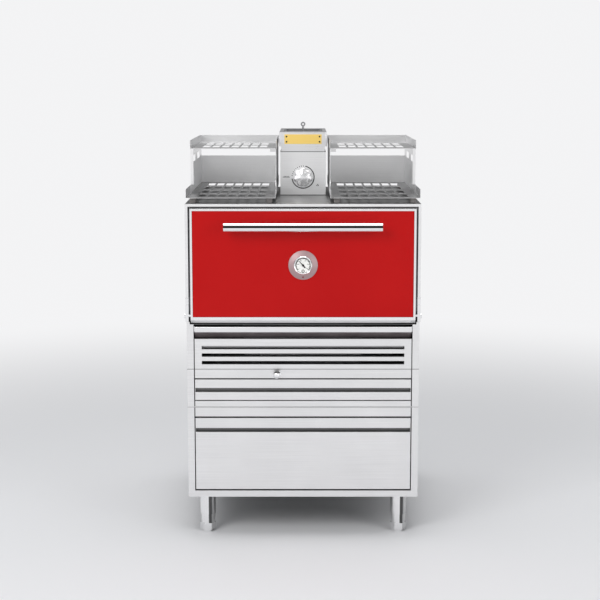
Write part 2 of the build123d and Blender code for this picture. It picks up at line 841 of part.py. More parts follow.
# Ash chute: a hopper below the firebox that narrows towards the ash pan, with the draught port in front
chute_bottom = ash_top + chute_lift
chute_top = firebox_bottom - fit_gap
with BuildPart() as ash_chute:
    chute_half = ash_opening_width / 2 - chute_inset
    chute_back = ash_opening_depth + ash_opening_length - chute_inset
    with BuildSketch(Plane.XY.offset(chute_bottom)):
        span(-chute_half + chute_taper, chute_half - chute_taper, back(chute_front),
             back(chute_back - chute_taper))
    with BuildSketch(Plane.XY.offset(chute_top)):
        span(-chute_half, chute_half, back(chute_front), back(chute_back))
    loft()
    ends = ash_chute.faces().sort_by(Axis.Z)
    offset(amount=-chute_wall, openings=[ends[0], ends[-1]])
    port_half = shutter_width / 2 - port_margin
    with BuildSketch(front_plane(chute_front)):
        span(draught_x - port_half, draught_x + port_half, shutter_low + port_margin,
             shutter_low + shutter_height - port_margin)
    extrude(amount=-chute_wall, mode=Mode.SUBTRACT)
save(ash_chute.part, "ash_chute")

# Grill rails: a plate with folded ledges on each side wall of the firebox
rail_first = firebox_floor + rail_first_rise
rail_wall = firebox_half - firebox_wall - fit_gap
grill_front = firebox_front + grill_front_gap
with BuildPart() as grill_rail:
    with BuildSketch(front_plane(grill_front)):
        rail_top = rail_first + (rail_levels - 1) * rail_pitch
        span(rail_wall - rail_sheet, rail_wall, rail_first - rail_sheet, rail_top + rail_ledge)
        for level in range(rail_levels):
            surface = rail_first + level * rail_pitch
            span(rail_wall - rail_ledge, rail_wall, surface - rail_sheet, surface)
    extrude(amount=-grill_depth)
save(both_sides(grill_rail.part), "grill_rails")


def cooking_grill(level):
    """A grill of square bars in a frame of thicker bar, lying on the ledges of one level."""
    rest = rail_first + level * rail_pitch + fit_gap
    edge = rail_wall - grill_side_gap - grill_frame_bar / 2
    front = back(grill_front) + grill_frame_bar / 2
    rear = back(grill_front + grill_depth) - grill_frame_bar / 2
    with BuildPart() as grill:
        with BuildSketch(Plane.XY.offset(rest)) as frame:
            span(-edge - grill_frame_bar / 2, edge + grill_frame_bar / 2, front - grill_frame_bar / 2,
                 rear + grill_frame_bar / 2)
            span(-edge + grill_frame_bar / 2, edge - grill_frame_bar / 2, front + grill_frame_bar / 2,
                 rear - grill_frame_bar / 2, Mode.SUBTRACT)
        extrude(amount=grill_frame_bar)
        with BuildSketch(Plane.XY.offset(rest + grill_frame_bar - grill_bar_height)) as bars:
            pitch = 2 * edge / (grill_bar_count + 1)
            with Locations((0, (front + rear) / 2)):
                with GridLocations(pitch, pitch, grill_bar_count, 1):
                    Rectangle(grill_bar_width, rear - front)
        extrude(amount=grill_bar_height)
    return grill.part


save(cooking_grill(lower_grill_level), "lower_grill")
save(cooking_grill(upper_grill_level), "upper_grill")

# Door trim: polished pan whose front shows as a narrow frame, bevelled below, with the hinge blocks inside
panel_low = door_bottom + trim_bottom_height
panel_high = door_top - trim_top_width
enamel_half = door_half - trim_width
with BuildPart() as door_trim:
    with BuildSketch(front_plane(0)):
        span(-door_half, door_half, door_bottom, door_top)
    extrude(amount=-trim_depth)
    front_edges = door_trim.faces().sort_by(Axis.Y)[0].edges()
    chamfer(front_edges.sort_by(Axis.Z)[0], trim_bevel)
    front_edges = door_trim.faces().sort_by(Axis.Y)[0].edges()
    fillet(front_edges.sort_by(Axis.Z)[-1], trim_round)
    offset(amount=-trim_sheet, openings=door_trim.faces().sort_by(Axis.Y)[-1])
    with BuildSketch(front_plane(0)):
        span(-enamel_half, enamel_half, panel_low, panel_high)
    extrude(amount=-trim_sheet, mode=Mode.SUBTRACT)
    block_outer = door_half - trim_sheet
    block_low = pivot_z - hinge_block_size / 2
    for side in (-1, 1):
        with BuildSketch(front_plane(trim_sheet)):
            block_edge = side * block_outer
            block_inner = side * (block_outer - hinge_block_size)
            span(min(block_inner, block_edge), max(block_inner, block_edge), block_low,
                 block_low + hinge_block_size)
        extrude(amount=-hinge_block_size)
    with BuildSketch(front_plane(0)):
        span(-enamel_half, enamel_half, panel_low, panel_high)
    extrude(amount=-(enamel_depth - enamel_proud + fit_gap), mode=Mode.SUBTRACT)
    with BuildSketch(Plane.YZ.offset(-door_half)):
        with Locations((back(pivot_depth), pivot_z)):
            Circle(pivot_diameter / 2 + running_gap)
    extrude(amount=2 * door_half, mode=Mode.SUBTRACT)
save(door_trim.part, "door_trim")

# Enamelled door panel: shallow pan with rounded edges, holed for the thermometer and the handle posts
handle_posts_at = [(-handle_post_x, handle_z), (handle_post_x, handle_z)]
with BuildPart() as door_panel:
    with BuildSketch(front_plane(-enamel_proud)):
        span(-enamel_half + fit_gap, enamel_half - fit_gap, panel_low + fit_gap, panel_high - fit_gap)
    extrude(amount=-enamel_depth)
    fillet(door_panel.faces().sort_by(Axis.Y)[0].edges(), enamel_round)
    offset(amount=-sheet, openings=door_panel.faces().sort_by(Axis.Y)[-1])
    with BuildSketch(front_plane(-enamel_proud)):
        with Locations((0, gauge_z)):
            Circle(gauge_can_diameter / 2 + fit_gap)
        with Locations(*handle_posts_at):
            Circle(handle_post_diameter / 4 + fit_gap)
    extrude(amount=-enamel_depth, mode=Mode.SUBTRACT)
save(door_panel.part, "door_panel")

# Door insulation: slab between the enamelled panel and the liner
with BuildPart() as door_insulation:
    fill_half = door_half - door_fill_margin - hinge_block_size / 2
    with BuildSketch(front_plane(door_fill_front)):
        span(-fill_half, fill_half, block_low + hinge_block_size, door_top - door_fill_margin)
        with Locations((0, gauge_z)):
            Circle(gauge_can_diameter / 2 + slide_gap, mode=Mode.SUBTRACT)
    extrude(amount=-(trim_depth - door_fill_front - slide_gap))
save(door_insulation.part, "door_insulation")

# Door liner: back plate with a raised plug that faces the mouth
with BuildPart() as door_liner:
    plug_half = mouth_half - plug_inset
    with BuildSketch(front_plane(trim_depth)):
        span(-door_half, door_half, door_bottom, door_top)
    extrude(amount=-liner_plate)
    with BuildSketch(front_plane(trim_depth)) as plug_outline:
        span(-plug_half, plug_half, mouth_bottom + plug_inset, mouth_top - plug_inset)
        fillet(plug_outline.vertices(), plug_round)
    extrude(amount=-(liner_plate + plug_depth))
    with BuildSketch(front_plane(trim_depth)) as plug_hollow:
        offset(plug_outline.sketch, amount=-liner_plate)
    extrude(amount=-plug_depth, mode=Mode.SUBTRACT)
    with BuildSketch(front_plane(trim_depth)):
        with Locations((0, gauge_z)):
            Circle(gauge_probe_diameter / 2 + running_gap)
    extrude(amount=-(liner_plate + plug_depth), mode=Mode.SUBTRACT)
save(door_liner.part, "door_liner")

# Door gasket: a rope seal round the plug that presses on the mouth frame
with BuildPart() as door_gasket:
    seal_depth = trim_depth + liner_plate
    seal_inner = mouth_half + gasket_inset
    with BuildSketch(front_plane(seal_depth)) as seal_outer:
        span(-seal_inner - gasket_width, seal_inner + gasket_width,
             mouth_bottom - gasket_inset - gasket_width, mouth_top + gasket_inset + gasket_width)
        fillet(seal_outer.vertices(), gasket_corner)
        offset(amount=-gasket_width, mode=Mode.SUBTRACT)
    extrude(amount=-(mouth_depth - seal_depth))
save(door_gasket.part, "door_gasket")

# Hinge brackets: blocks in the notches of the oven casing, each with a pivot bore
bracket_inner = inner_strip
bracket_outer = oven_half + bracket_proud
with BuildPart() as hinge_bracket:
    bracket_low = upper_top + fit_gap
    bracket_shoulder = oven_bottom + bracket_height
    with BuildSketch(Plane.YZ.offset(bracket_inner)):
        with BuildLine():
            Polyline(
                (front_y, bracket_low),
                (front_y, bracket_shoulder),
                (back(bracket_tail_setback), bracket_shoulder),
                (back(bracket_tail_setback), bracket_top),
                (back(bracket_depth), bracket_top),
                (back(bracket_depth), bracket_low),
                close=True,
            )
        make_face()
        with Locations((back(pivot_depth), pivot_z)):
            Circle(pivot_diameter / 2 + running_gap, mode=Mode.SUBTRACT)
    extrude(amount=bracket_outer - bracket_inner)
save(both_sides(hinge_bracket.part), "hinge_brackets")

with BuildPart() as hinge_bolt:
    head_start = bracket_outer + fit_gap
    with BuildSketch(Plane.YZ.offset(block_outer - pivot_socket)):
        with Locations((back(pivot_depth), pivot_z)):
            Circle(pivot_diameter / 2)
    extrude(amount=head_start - block_outer + pivot_socket)
    with BuildSketch(Plane.YZ.offset(head_start)):
        with Locations((back(pivot_depth), pivot_z)):
            Circle(pivot_head_diameter / 2)
    extrude(amount=pivot_head_height)
save(both_sides(hinge_bolt.part), "hinge_bolts")

# Door handle: polished tube with closed ends on two posts
with BuildPart() as handle_tube:
    with BuildSketch(Plane.YZ):
        with Locations((back(-handle_standoff), handle_z)):
            Circle(handle_diameter / 2)
    extrude(amount=handle_half_length, both=True)
    with BuildSketch(Plane.YZ):
        with Locations((back(-handle_standoff), handle_z)):
            Circle(handle_diameter / 2 - handle_wall)
    extrude(amount=handle_half_length - 2 * handle_wall, both=True, mode=Mode.SUBTRACT)
    with BuildSketch(front_plane(-handle_standoff)):
        with Locations(*handle_posts_at):
            Circle(handle_post_diameter / 2 + running_gap)
    extrude(amount=-handle_diameter, mode=Mode.SUBTRACT)
save(handle_tube.part, "handle_tube")

with BuildPart() as handle_posts:
    post_front = handle_diameter / 2 - handle_post_inset - handle_standoff
    post_foot = -enamel_proud - fit_gap
    with BuildSketch(front_plane(post_front)):
        with Locations(*handle_posts_at):
            Circle(handle_post_diameter / 2)
    extrude(amount=-(post_foot - post_front))
    with BuildSketch(front_plane(post_foot)):
        with Locations(*handle_posts_at):
            Circle(handle_post_diameter / 4)
    extrude(amount=-(enamel_depth - enamel_proud))
save(handle_posts.part, "handle_posts")

# Thermometer in the door: everything is turned about one axis square to the door
gauge_axis = Plane(origin=(0, back(-enamel_proud), gauge_z), x_dir=(1, 0, 0), z_dir=(0, -1, 0))
gauge_section = Plane(origin=(0, back(-enamel_proud), gauge_z), x_dir=(1, 0, 0), z_dir=(0, 0, 1))
ring_radius = gauge_ring_diameter / 2
bore_radius = gauge_ring_bore / 2
can_radius = gauge_can_diameter / 2
flange_radius = gauge_flange_diameter / 2
flange_bore = ring_radius + fit_gap


def turned(outline):
    """A ring or disc of the thermometer, turned from points given as (radius, height above the door)."""
    with BuildPart() as ring:
        with BuildSketch(gauge_section):
            with BuildLine():
                Polyline(*[(radius, -height) for radius, height in outline], close=True)
            make_face()
        revolve(axis=Axis((0, 0, gauge_z), (0, 1, 0)))
    return ring.part


with BuildPart() as gauge_flange:
    add(turned([
        (flange_bore, fit_gap),
        (flange_radius, fit_gap),
        (flange_radius, gauge_flange_rim),
        (flange_bore, gauge_flange_height),
    ]))
    with BuildSketch(gauge_axis):
        with Locations((0, -(flange_radius + ring_radius) / 2)):
            Circle(gauge_vent / 2)
    extrude(amount=gauge_flange_height, mode=Mode.SUBTRACT)
save(gauge_flange.part, "gauge_flange")

dial_height = gauge_ring_height - gauge_dial_recess
probe_radius = gauge_probe_diameter / 2
with BuildPart() as gauge_case:
    add(turned([
        (0, -gauge_can_depth),
        (can_radius, -gauge_can_depth),
        (can_radius, fit_gap),
        (ring_radius, fit_gap),
        (ring_radius, gauge_ring_height - sheet),
        (ring_radius - sheet, gauge_ring_height),
        (bore_radius, gauge_ring_height - gauge_glass_recess),
        (bore_radius, dial_height - gauge_dial_thickness - fit_gap),
        (0, dial_height - gauge_dial_thickness - fit_gap),
    ]))
    with BuildSketch(gauge_axis.offset(-gauge_can_depth)):
        Circle(probe_radius)
    extrude(amount=-(gauge_probe_length - gauge_can_depth))
save(gauge_case.part, "gauge_case")

with BuildPart() as gauge_dial:
    with BuildSketch(gauge_axis.offset(dial_height - gauge_dial_thickness)):
        Circle(gauge_dial_diameter / 2)
    extrude(amount=gauge_dial_thickness)
    with BuildSketch(gauge_axis.offset(dial_height)):
        Circle(needle_pin / 2)
    extrude(amount=needle_lift + needle_thickness)
save(gauge_dial.part, "gauge_dial")

with BuildPart() as gauge_needle:
    needle_plane = Plane(
        origin=(0, back(-enamel_proud - dial_height - needle_lift), gauge_z),
        x_dir=Vector(1, 0, 0).rotate(Axis.Y, -needle_angle),
        z_dir=(0, -1, 0),
    )
    with BuildSketch(needle_plane):
        with BuildLine():
            Polyline(
                (-needle_width / 2, -needle_tail),
                (needle_width / 2, -needle_tail),
                (needle_width / 2, 0),
                (needle_width / 8, needle_length),
                (-needle_width / 8, needle_length),
                (-needle_width / 2, 0),
                close=True,
            )
        make_face()
        Circle(needle_hub / 2)
        Circle(needle_pin / 2 + running_gap, mode=Mode.SUBTRACT)
    extrude(amount=needle_thickness)
save(gauge_needle.part, "gauge_needle")

with BuildPart() as gauge_glass:
    glass_low = gauge_ring_height - gauge_glass_recess - gauge_glass_thickness
    with BuildSketch(gauge_axis.offset(glass_low)):
        Circle(bore_radius - running_gap)
    extrude(amount=gauge_glass_thickness)
save(gauge_glass.part, "gauge_glass")

# Flue box: sheet duct on the casing's roof with an inward top flange that the cap stands on, a neck down
# to the firebox and two stops for the damper
flue_back_depth = flue_front_depth + flue_depth
stop_reach = damper_flap_width / 2 - damper_stop_overlap
flap_half_thick = damper_flap_thickness / 2
collar_half = flue_half - flue_collar_inset
collar_front = flue_front_depth + flue_collar_inset
collar_back = flue_back_depth - flue_collar_inset
with BuildPart() as flue_box:
    with BuildSketch(Plane.XY.offset(oven_top)):
        span(-flue_half, flue_half, back(flue_front_depth), back(flue_back_depth))
    extrude(amount=flue_height)
    offset(amount=-sheet, openings=flue_box.faces().sort_by(Axis.Z)[-1])
    with BuildSketch(Plane.XY.offset(flue_top - sheet)):
        span(-flue_half, flue_half, back(flue_front_depth), back(flue_back_depth))
        span(-collar_half + cap_wall, collar_half - cap_wall, back(collar_front + cap_wall),
             back(collar_back - cap_wall), Mode.SUBTRACT)
    extrude(amount=sheet)
    neck_half = flue_neck_width / 2 + sheet
    neck_front = back(flue_neck_front)
    neck_back = back(flue_neck_front + flue_neck_length)
    neck_bottom = firebox_top + fit_gap
    with BuildSketch(Plane.XY.offset(neck_bottom)):
        span(-neck_half, neck_half, neck_front - sheet, neck_back + sheet)
    extrude(amount=oven_top + sheet - neck_bottom)
    with BuildSketch(Plane.XY.offset(neck_bottom)):
        span(-flue_neck_width / 2, flue_neck_width / 2, neck_front, neck_back)
    extrude(amount=oven_top + sheet - neck_bottom, mode=Mode.SUBTRACT)
    with BuildSketch(front_plane(flue_front_depth + sheet)):
        left_stop = damper_z - flap_half_thick - slide_gap
        right_stop = damper_z + flap_half_thick + slide_gap
        span(-flue_half + sheet, -stop_reach, left_stop - damper_stop_sheet, left_stop)
        span(stop_reach, flue_half - sheet, right_stop, right_stop + damper_stop_sheet)
    extrude(amount=-(flue_depth - 2 * sheet))
    with BuildSketch(front_plane(flue_front_depth)):
        with Locations((0, damper_z)):
            Circle(damper_shaft_diameter / 2 + running_gap)
    extrude(amount=-flue_depth, mode=Mode.SUBTRACT)
save(flue_box.part, "flue_box")

# Damper: shaft and flap in the flue, scale disc on its front, lobed knob
dial_front = flue_front_depth - damper_dial_thickness
knob_back = dial_front - slide_gap
with BuildPart() as damper_shaft:
    shaft_front = knob_back - knob_socket
    with BuildSketch(front_plane(shaft_front)):
        with Locations((0, damper_z)):
            Circle(damper_shaft_diameter / 2)
    extrude(amount=-(flue_back_depth - shaft_front))
    flap_front = flue_front_depth + sheet + damper_flap_margin
    with BuildSketch(front_plane(flap_front)):
        with Locations((0, damper_z)):
            Rectangle(damper_flap_width, damper_flap_thickness)
    extrude(amount=-(flue_depth - 2 * sheet - 2 * damper_flap_margin))
save(damper_shaft.part, "damper_shaft")

with BuildPart() as damper_dial:
    with BuildSketch(front_plane(dial_front)):
        with Locations((0, damper_z)):
            Circle(damper_dial_diameter / 2)
            Circle(damper_shaft_diameter / 2 + slide_gap, mode=Mode.SUBTRACT)
    extrude(amount=-damper_dial_thickness)
save(damper_dial.part, "damper_dial")

with BuildPart() as damper_knob:
    lobe_circle = (knob_diameter - knob_lobe_diameter) / 2
    with BuildSketch(front_plane(knob_back)):
        with Locations((0, damper_z)):
            Circle(lobe_circle + knob_lobe_diameter / 4)
            with PolarLocations(lobe_circle, knob_lobes, start_angle=90):
                Circle(knob_lobe_diameter / 2)
    extrude(amount=knob_depth)
    chamfer(damper_knob.faces().sort_by(Axis.Y)[0].edges(), knob_bevel)
    with BuildSketch(front_plane(knob_back)):
        with Locations((0, damper_z)):
            Circle(damper_shaft_diameter / 2 + running_gap)
    extrude(amount=knob_socket, mode=Mode.SUBTRACT)
save(damper_knob.part, "damper_knob")

# Flue cap: collar set in from the duct, wider box above it, open at the top
plate_middle = cap_top - plate_drop - plate_height / 2
with BuildPart() as flue_cap:
    with BuildSketch(Plane.XY.offset(cap_bottom)):
        span(-cap_half, cap_half, back(cap_front_depth), back(cap_back_depth))
    extrude(amount=cap_height)
    fillet(flue_cap.edges().filter_by(Axis.Z), cap_round)
    with BuildSketch(Plane.XY.offset(collar_bottom)):
        span(-collar_half, collar_half, back(collar_front), back(collar_back))
    extrude(amount=flue_collar_height)
    with BuildSketch(Plane.XY.offset(collar_bottom)):
        span(-collar_half + cap_wall, collar_half - cap_wall, back(collar_front + cap_wall),
             back(collar_back - cap_wall))
    extrude(amount=flue_collar_height + cap_height - cap_wall, mode=Mode.SUBTRACT)
    opening_half = cap_opening_width / 2
    with BuildSketch(Plane.XY.offset(cap_top - cap_wall)):
        span(-opening_half, opening_half, back(cap_opening_front),
             back(cap_opening_front + cap_opening_length))
    extrude(amount=cap_wall, mode=Mode.SUBTRACT)
save(flue_cap.part, "flue_cap")

with BuildPart() as cap_plate:
    with BuildSketch(front_plane(cap_front_depth - plate_thickness)):
        with Locations((0, plate_middle)):
            Rectangle(plate_width, plate_height)
    extrude(amount=-plate_thickness)
save(cap_plate.part, "cap_plate")

# Spark arrestor: slotted tray that hangs in the cap's opening and lifts out by its hook
with BuildPart() as spark_arrestor:
    arrestor_middle = back(cap_opening_front + cap_opening_length / 2)
    tray_width = cap_opening_width - 2 * arrestor_gap
    tray_length = cap_opening_length - 2 * arrestor_gap
    rim_low = cap_top + fit_gap
    tray_low = rim_low - arrestor_depth
    with BuildSketch(Plane.XY.offset(tray_low)):
        with Locations((0, arrestor_middle)):
            Rectangle(tray_width, tray_length)
    extrude(amount=arrestor_depth + thin_sheet)
    offset(amount=-thin_sheet, openings=spark_arrestor.faces().sort_by(Axis.Z)[-1])
    with BuildSketch(Plane.XY.offset(rim_low)):
        with Locations((0, arrestor_middle)):
            Rectangle(tray_width + 2 * arrestor_flange, tray_length + 2 * arrestor_flange)
            Rectangle(tray_width - 2 * thin_sheet, tray_length - 2 * thin_sheet, mode=Mode.SUBTRACT)
    extrude(amount=thin_sheet)
    with BuildSketch(Plane.XY.offset(tray_low)):
        with Locations((0, arrestor_middle)):
            with GridLocations(2 * arrestor_slot_width, tray_length / 2, arrestor_slot_columns, 2):
                Rectangle(arrestor_slot_width, arrestor_slot_length, mode=Mode.ADD)
    extrude(amount=thin_sheet, mode=Mode.SUBTRACT)
    eye_z = cap_top + hook_height - hook_eye_diameter / 2
    with BuildSketch(Plane.XY.offset(tray_low)):
        with Locations((0, arrestor_middle)):
            Circle(hook_rod / 2)
    extrude(amount=eye_z - (hook_eye_diameter + hook_eye_bore) / 4 - tray_low)
    with BuildSketch(Plane.XZ.offset(hook_rod / 3 - arrestor_middle)):
        with Locations((0, eye_z)):
            Circle(hook_eye_diameter / 2)
            Circle(hook_eye_bore / 2, mode=Mode.SUBTRACT)
    extrude(amount=-2 * hook_rod / 3)
save(spark_arrestor.part, "spark_arrestor")

# Holding racks, one at each side of the flue: slotted lower tray, folded frame, slotted upper tray
rack_floor = oven_top + rack_lift
rack_middle_x = (rack_outer_x + rack_inner_x) / 2
frame_outer_x = rack_outer_x - thin_sheet - fit_gap
frame_inner_x = rack_inner_x + thin_sheet + fit_gap
frame_back_y = back(rack_back_depth) - thin_sheet - fit_gap
frame_bottom = rack_floor + thin_sheet + fit_gap
upper_tray_floor = frame_bottom + rack_side_height + fit_gap


def slotted_tray(floor, front, rear, lip, rows, slot_length, row_pitch):
    """A tray with lips at the sides and back, open at the front, its floor slotted in columns and rows."""
    with BuildPart() as tray:
        with BuildSketch(Plane.XY.offset(floor)):
            span(rack_inner_x, rack_outer_x, back(front), back(rear))
        extrude(amount=lip)
        front_and_top = [tray.faces().sort_by(Axis.Y)[0], tray.faces().sort_by(Axis.Z)[-1]]
        offset(amount=-thin_sheet, openings=front_and_top)
        with BuildSketch(Plane.XY.offset(floor)):
            with Locations((rack_middle_x, back((front + rear) / 2))):
                with GridLocations(rack_slot_pitch, row_pitch, rack_slot_columns, rows):
                    Rectangle(rack_slot_width, slot_length)
        extrude(amount=thin_sheet, mode=Mode.SUBTRACT)
    return tray.part


def rack_frame():
    """The rack's folded frame: windowed outer side, low back, and inner side with a curved toe."""
    top = frame_bottom + rack_side_height
    front = back(rack_side_front)
    with BuildPart() as frame:
        with BuildSketch(Plane.YZ.offset(frame_outer_x - thin_sheet)) as outer_side:
            span(front, frame_back_y, frame_bottom, top)
            window_middle = rack_window_front + rack_window_length / 2 + rack_window_pitch / 2
            with Locations((back(window_middle), top - rack_window_drop - rack_window_height / 2)):
                with GridLocations(rack_window_pitch, rack_window_pitch, 2, 1):
                    Rectangle(rack_window_length, rack_window_height, mode=Mode.SUBTRACT)
        extrude(amount=thin_sheet)
        with BuildSketch(Plane.YZ.offset(frame_inner_x)) as inner_side:
            toe_top = frame_bottom + rack_toe
            with BuildLine():
                Line((frame_back_y, frame_bottom), (frame_back_y, top))
                Line((frame_back_y, top), (front, top))
                Line((front, top), (front, toe_top))
                RadiusArc((front, toe_top), (front - rack_toe, frame_bottom), -rack_toe)
                Line((front - rack_toe, frame_bottom), (frame_back_y, frame_bottom))
            make_face()
        extrude(amount=thin_sheet)
        with BuildSketch(Plane.XZ.offset(-frame_back_y)) as back_panel:
            span(frame_inner_x, frame_outer_x, frame_bottom, frame_bottom + rack_back_height)
        extrude(amount=thin_sheet)
        with BuildSketch(Plane.XZ.offset(-front)) as edge_flange:
            span(frame_outer_x - rack_edge_flange, frame_outer_x, frame_bottom + rack_lip, top)
        extrude(amount=-thin_sheet)
    return frame.part


def upper_tray():
    """The upper tray, with a small tab turned down under its front edge near the flue."""
    with BuildPart() as tray:
        add(slotted_tray(upper_tray_floor, rack_side_front, rack_upper_back, rack_upper_lip,
                         rack_upper_rows, rack_upper_slot, rack_upper_row_pitch))
        with BuildSketch(front_plane(rack_side_front)):
            tab_start = frame_inner_x + thin_sheet + fit_gap
            span(tab_start, tab_start + rack_tab_width, upper_tray_floor - rack_tab_height, upper_tray_floor)
        extrude(amount=-thin_sheet)
    return tray.part


right_lower_tray = slotted_tray(rack_floor, rack_front_depth, rack_back_depth, rack_lip,
                                rack_lower_rows, rack_lower_slot, rack_lower_row_pitch)
save(right_lower_tray, "rack_right_lower_tray")
save(mirror(right_lower_tray, about=Plane.YZ), "rack_left_lower_tray")
right_frame = rack_frame()
save(right_frame, "rack_right_frame")
save(mirror(right_frame, about=Plane.YZ), "rack_left_frame")
right_upper_tray = upper_tray()
save(right_upper_tray, "rack_right_upper_tray")
save(mirror(right_upper_tray, about=Plane.YZ), "rack_left_upper_tray")

with BuildPart() as rack_pads:
    pad_reach = rack_pad_inset + rack_pad_width / 2
    pad_x = [rack_inner_x + pad_reach, rack_outer_x - pad_reach]
    pad_y = [back(rack_front_depth + rack_pad_length), back(rack_back_depth - rack_pad_length)]
    pad_spots = [(side * x, y) for side in (-1, 1) for x in pad_x for y in pad_y]
    with BuildSketch(Plane.XY.offset(oven_top)):
        with Locations(*pad_spots):
            Rectangle(rack_pad_width, rack_pad_length)
    extrude(amount=rack_lift)
save(rack_pads.part, "rack_pads")
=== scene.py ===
import json
import math
import bmesh
import bpy
from mathutils import Matrix, Vector


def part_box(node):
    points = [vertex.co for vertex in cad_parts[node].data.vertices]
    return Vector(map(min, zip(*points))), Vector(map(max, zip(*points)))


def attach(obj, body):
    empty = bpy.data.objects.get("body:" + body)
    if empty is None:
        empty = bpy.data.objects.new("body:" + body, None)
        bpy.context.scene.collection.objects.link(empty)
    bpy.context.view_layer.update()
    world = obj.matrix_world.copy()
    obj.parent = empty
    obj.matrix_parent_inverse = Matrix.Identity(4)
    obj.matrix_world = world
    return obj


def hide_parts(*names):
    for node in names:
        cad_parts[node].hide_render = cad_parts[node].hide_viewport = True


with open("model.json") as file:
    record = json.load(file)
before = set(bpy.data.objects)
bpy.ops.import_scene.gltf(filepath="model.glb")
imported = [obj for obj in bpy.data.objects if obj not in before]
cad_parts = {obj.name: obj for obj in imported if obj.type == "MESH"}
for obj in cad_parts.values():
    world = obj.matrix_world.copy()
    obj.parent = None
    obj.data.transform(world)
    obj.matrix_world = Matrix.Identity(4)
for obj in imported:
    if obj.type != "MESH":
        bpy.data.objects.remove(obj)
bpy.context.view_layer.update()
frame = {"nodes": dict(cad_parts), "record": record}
nodes = frame["nodes"]

# Places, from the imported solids
front_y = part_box("base_casing")[0].y
rear_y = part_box("base_casing")[1].y
gauge_low, gauge_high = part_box("gauge_dial")
gauge_centre = (gauge_low + gauge_high) / 2
knob_low, knob_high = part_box("damper_knob")
dial_low, dial_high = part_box("damper_dial")
damper_centre = (dial_low + dial_high) / 2


# Sockets of a colour Mix node
mix_factor = 0
mix_first = 6
mix_second = 7
mix_result = 2


# Node helpers
def material(name):
    mat = bpy.data.materials.new(name)
    mat.use_nodes = True
    tree = mat.node_tree
    shader = tree.nodes["Principled BSDF"]
    return mat, tree, shader


def node(tree, kind, **values):
    made = tree.nodes.new(kind)
    for key, value in values.items():
        if key in made.inputs:
            made.inputs[key].default_value = value
        else:
            setattr(made, key, value)
    return made


def join(tree, source, out, target, into):
    tree.links.new(source.outputs[out], target.inputs[into])


def ramp(tree, source, out, stops):
    """A colour ramp of (place, value or colour) fed by a value."""
    made = tree.nodes.new("ShaderNodeValToRGB")
    while len(made.color_ramp.elements) < len(stops):
        made.color_ramp.elements.new(0.5)
    for element, (place, colour) in zip(made.color_ramp.elements, stops):
        element.position = place
        element.color = (colour, colour, colour, 1) if isinstance(colour, float) else (*colour, 1)
    join(tree, source, out, made, "Fac")
    return made


def math_node(tree, operation, *parts):
    """A math node whose inputs are numbers or (node, output) pairs."""
    made = node(tree, "ShaderNodeMath", operation=operation)
    for index, part in enumerate(parts):
        if isinstance(part, tuple):
            tree.links.new(part[0].outputs[part[1]], made.inputs[index])
        else:
            made.inputs[index].default_value = part
    return made


def texture_coords(tree):
    return tree.nodes.new("ShaderNodeTexCoord")


def axes(tree, coords, which="Object"):
    """A coordinate split into X, Y and Z: the place on the object, in metres, unless another is named."""
    split = tree.nodes.new("ShaderNodeSeparateXYZ")
    join(tree, coords, which, split, "Vector")
    return split


def mix_colours(tree, first, second, **values):
    """A colour mix node fed by two colour sockets."""
    made = node(tree, "ShaderNodeMix", data_type="RGBA", **values)
    tree.links.new(first, made.inputs[mix_first])
    tree.links.new(second, made.inputs[mix_second])
    return made


def multiply(tree, colour, tone):
    """The socket of a colour multiplied by a tone."""
    made = mix_colours(tree, colour, tone, blend_type="MULTIPLY")
    made.inputs[mix_factor].default_value = 1.0
    return made.outputs[mix_result]


def base_colour(shader):
    """The socket that now feeds a shader's colour."""
    return shader.inputs["Base Color"].links[0].from_socket


def slope(tree, source, out, low, high):
    """Rises from 0 at low to 1 at high."""
    made = node(tree, "ShaderNodeMapRange")
    made.inputs["From Min"].default_value = low
    made.inputs["From Max"].default_value = high
    join(tree, source, out, made, "Value")
    return made


# Brushing grain
lines_per_metre = 1500.0
slow_per_metre = 3.0
level_above = 0.7


def grain(tree, coords, split, along):
    """Brushing lines: a noise that changes fast across the grain and hardly along it."""
    normal = axes(tree, coords, "Normal")
    flat = math_node(tree, "ABSOLUTE", (normal, "Z"))
    up = math_node(tree, "GREATER_THAN", (flat, 0), level_above)
    combined = tree.nodes.new("ShaderNodeCombineXYZ")
    if along == "z":
        cross = math_node(tree, "ADD", (split, "X"), (split, "Y"))
        long = math_node(tree, "MULTIPLY", (split, "Z"), slow_per_metre)
    else:
        beside = math_node(tree, "MULTIPLY", (split, "Y"), (up, 0))
        cross = math_node(tree, "ADD", (split, "Z"), (beside, 0))
        spare = math_node(tree, "ADD", (split, "X"), (split, "Y"))
        long = math_node(tree, "MULTIPLY", (spare, 0), slow_per_metre)
    fast = math_node(tree, "MULTIPLY", (cross, 0), lines_per_metre)
    join(tree, long, 0, combined, "X")
    join(tree, fast, 0, combined, "Y")
    lines = node(tree, "ShaderNodeTexNoise", Scale=1.0, Detail=3.0, Roughness=0.6)
    join(tree, combined, 0, lines, "Vector")
    return lines


